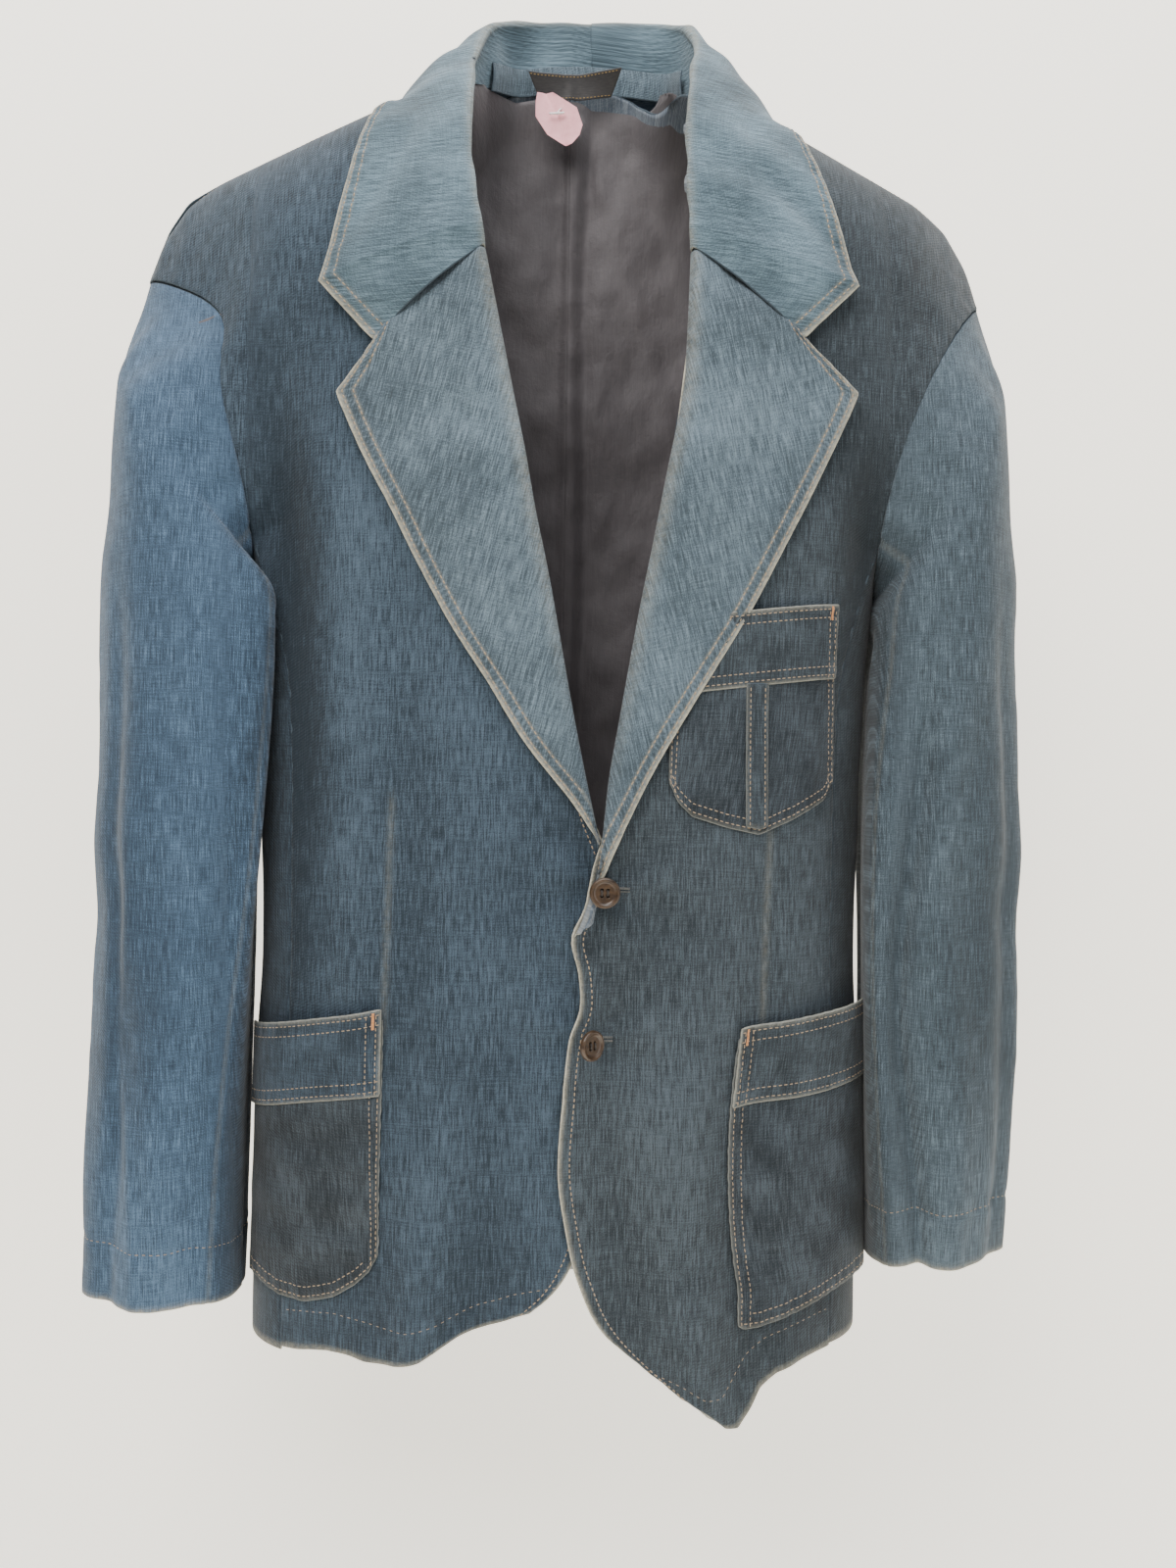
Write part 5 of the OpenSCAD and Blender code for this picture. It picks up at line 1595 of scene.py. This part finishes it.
for s, key in SIDES:
    for name in (f"{key}_side_panel_cloth", f"{key}_back_cloth", f"{key}_back_lining_cloth",
                 f"{key}_front_lining_cloth", f"{key}_front_facing_cloth", f"{key}_shoulder_pad_felt"):
        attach(PIECES[name], "coat")
    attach(STEMS[f"{key}_back"], "coat")
    leaf = "right_lapel_leaf" if s < 0 else "left_lapel_leaf"
    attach(PIECES[f"{key}_lapel_cloth"], leaf)
    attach(STEMS[f"{key}_lapel"], leaf)
    bend(PIECES[f"{key}_collar_cloth"], "leaf")
    bend(STEMS[f"{key}_collar"], "leaf")
    bend(PIECES[f"{key}_sleeve_cloth"], "sleeve")
    bend(PIECES[f"{key}_sleeve_lining_cloth"], "sleeve")
    bend(STEMS[f"{key}_sleeve"], "sleeve")
    bend(PIECES[f"{key}_pocket_cloth"], "lip")
    bend(STEMS[f"{key}_pocket"], "lip")
    lip = "right_pocket_lip" if s < 0 else "left_pocket_lip"
    for ob in (PIECES[f"{key}_pocket_band_cloth"], STEMS[f"{key}_pocket_band"], STEMS[f"{key}_tack"]):
        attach(ob, lip)
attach(PIECES["right_front_cloth"], "coat")
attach(STEMS["right_front"], "coat")
bend(PIECES["left_front_cloth"], "corner")
bend(STEMS["left_front"], "corner")
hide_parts("right_front")
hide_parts("left_front", "left_front_corner")
for name in ("collar_stand_cloth", "breast_pocket_cloth", "breast_pocket_band_cloth",
             "breast_pocket_strip_cloth", "upper_button_thread_wound", "lower_button_thread_wound",
             "neck_label_blank"):
    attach(PIECES[name], "coat")
for g in ("breast_pocket", "breast_tack", "label", "buttonhole"):
    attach(STEMS[g], "coat")
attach(b1, "upper_button_disc")
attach(b2, "lower_button_disc")
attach(tag, "tag")
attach(pin, "tag")

SLOTS = (("collar", "denim_collar"), ("lapel", "denim_collar"), ("pocket", "denim_pocket"),
         ("lining", "lining"), ("sleeve", "denim_sleeve"), ("felt", "padding"), ("thread", "thread"),
         ("button", "button"), ("label", "label"),
         ("tag_pin", "pin_plastic"), ("paper", "tag_paper"), ("cloth", "denim_body"))
for name, ob in PIECES.items():
    if "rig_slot" in ob:
        continue
    for word, slot_name in SLOTS:
        if word in name and not (word == "sleeve" and "lining" in name):
            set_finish(ob, slot_name)
            break
for name, ob in list(PIECES.items()):
    if name.endswith("_cloth") or name == "neck_label_blank":
        w, l = ob["w"], ob["l"]

# ---------------------------------------------------------------- camera, light and backdrop
cam_data = bpy.data.cameras.new("camera")
cam_data.lens, cam_data.sensor_width, cam_data.sensor_fit = 36.0, 36.0, "HORIZONTAL"
cam_data.dof.use_dof = False
cam = bpy.data.objects.new("camera", cam_data)
bpy.context.scene.collection.objects.link(cam)
turn = Euler((math.radians(90), 0, math.radians(-3))).to_matrix() @ Matrix.Rotation(math.radians(0.8), 3, "Z")
cam.matrix_world = Matrix.Translation((-0.023, -0.735, -0.454)) @ turn.to_4x4()
bpy.context.scene.camera = cam


def stage_material(name, colour, rough):
    mat, nt, bs = nodes_of(name)
    tc = nt.nodes.new("ShaderNodeTexCoord")
    n1 = noise(nt, tc.outputs["Object"], scale=3.0, detail=3)
    c = mix_col(nt, math_node(nt, "MULTIPLY", n1, 0.3), colour, tuple(k * 0.96 for k in colour))
    link(nt, c, bs.inputs["Base Color"])
    bs.inputs["Roughness"].default_value = rough
    bs.inputs["Emission Color"].default_value = (1.0, 0.95, 0.83, 1)
    bs.inputs["Emission Strength"].default_value = 1.0
    return mat


def cyclorama():
    prof = [(-2.2, -1.35), (-0.4, -1.35)]
    prof += [(-0.4 + 0.6 * math.sin(a), -0.75 - 0.6 * math.cos(a)) for a in np.linspace(0, math.pi / 2, 14)]
    prof += [(0.2, 1.6)]
    V = [(x * 1000, y * 1000, z * 1000) for y, z in prof for x in (-2.6, 2.6)]
    F = [[2 * i, 2 * i + 1, 2 * i + 3, 2 * i + 2] for i in range(len(prof) - 1)]
    me = bpy.data.meshes.new("backdrop")
    me.from_pydata([tuple(c / 1000 for c in v) for v in V], [], F)
    me.polygons.foreach_set("use_smooth", [True] * len(F))
    me.materials.append(stage_material("backdrop_paper", (0.92, 0.885, 0.81), 0.9))
    ob = bpy.data.objects.new("backdrop", me)
    bpy.context.scene.collection.objects.link(ob)
    return ob


cyclorama()


def area_light(name, at, look, size, power, colour=(1, 1, 1)):
    data = bpy.data.lights.new(name, "AREA")
    data.shape, data.size, data.size_y = "RECTANGLE", size[0], size[1]
    data.energy, data.color = power, colour
    ob = bpy.data.objects.new(name, data)
    bpy.context.scene.collection.objects.link(ob)
    ob.location = at
    ob.rotation_euler = (Vector(look) - Vector(at)).to_track_quat("-Z", "Y").to_euler()
    return ob


area_light("key", (-0.7, -1.3, 0.95), (0, 0, -0.35), (1.1, 1.1), 40, (1.0, 0.975, 0.94))
area_light("fill", (1.3, -1.2, -0.2), (0, 0, -0.45), (1.2, 1.6), 12, (0.95, 0.98, 1.0))
area_light("top", (0.15, -0.35, 0.95), (0, 0.02, -0.3), (1.2, 0.8), 16)
area_light("rim", (-1.2, 0.9, 0.3), (0, 0, -0.4), (0.8, 1.2), 10)
area_light("behind", (0.9, 1.5, -0.1), (0, 0, -0.4), (1.2, 1.2), 10)
world = bpy.data.worlds.new("studio")
world.use_nodes = True
world.node_tree.nodes["Background"].inputs[0].default_value = (0.92, 0.95, 1.0, 1)
world.node_tree.nodes["Background"].inputs[1].default_value = 0.35
bpy.context.scene.world = world
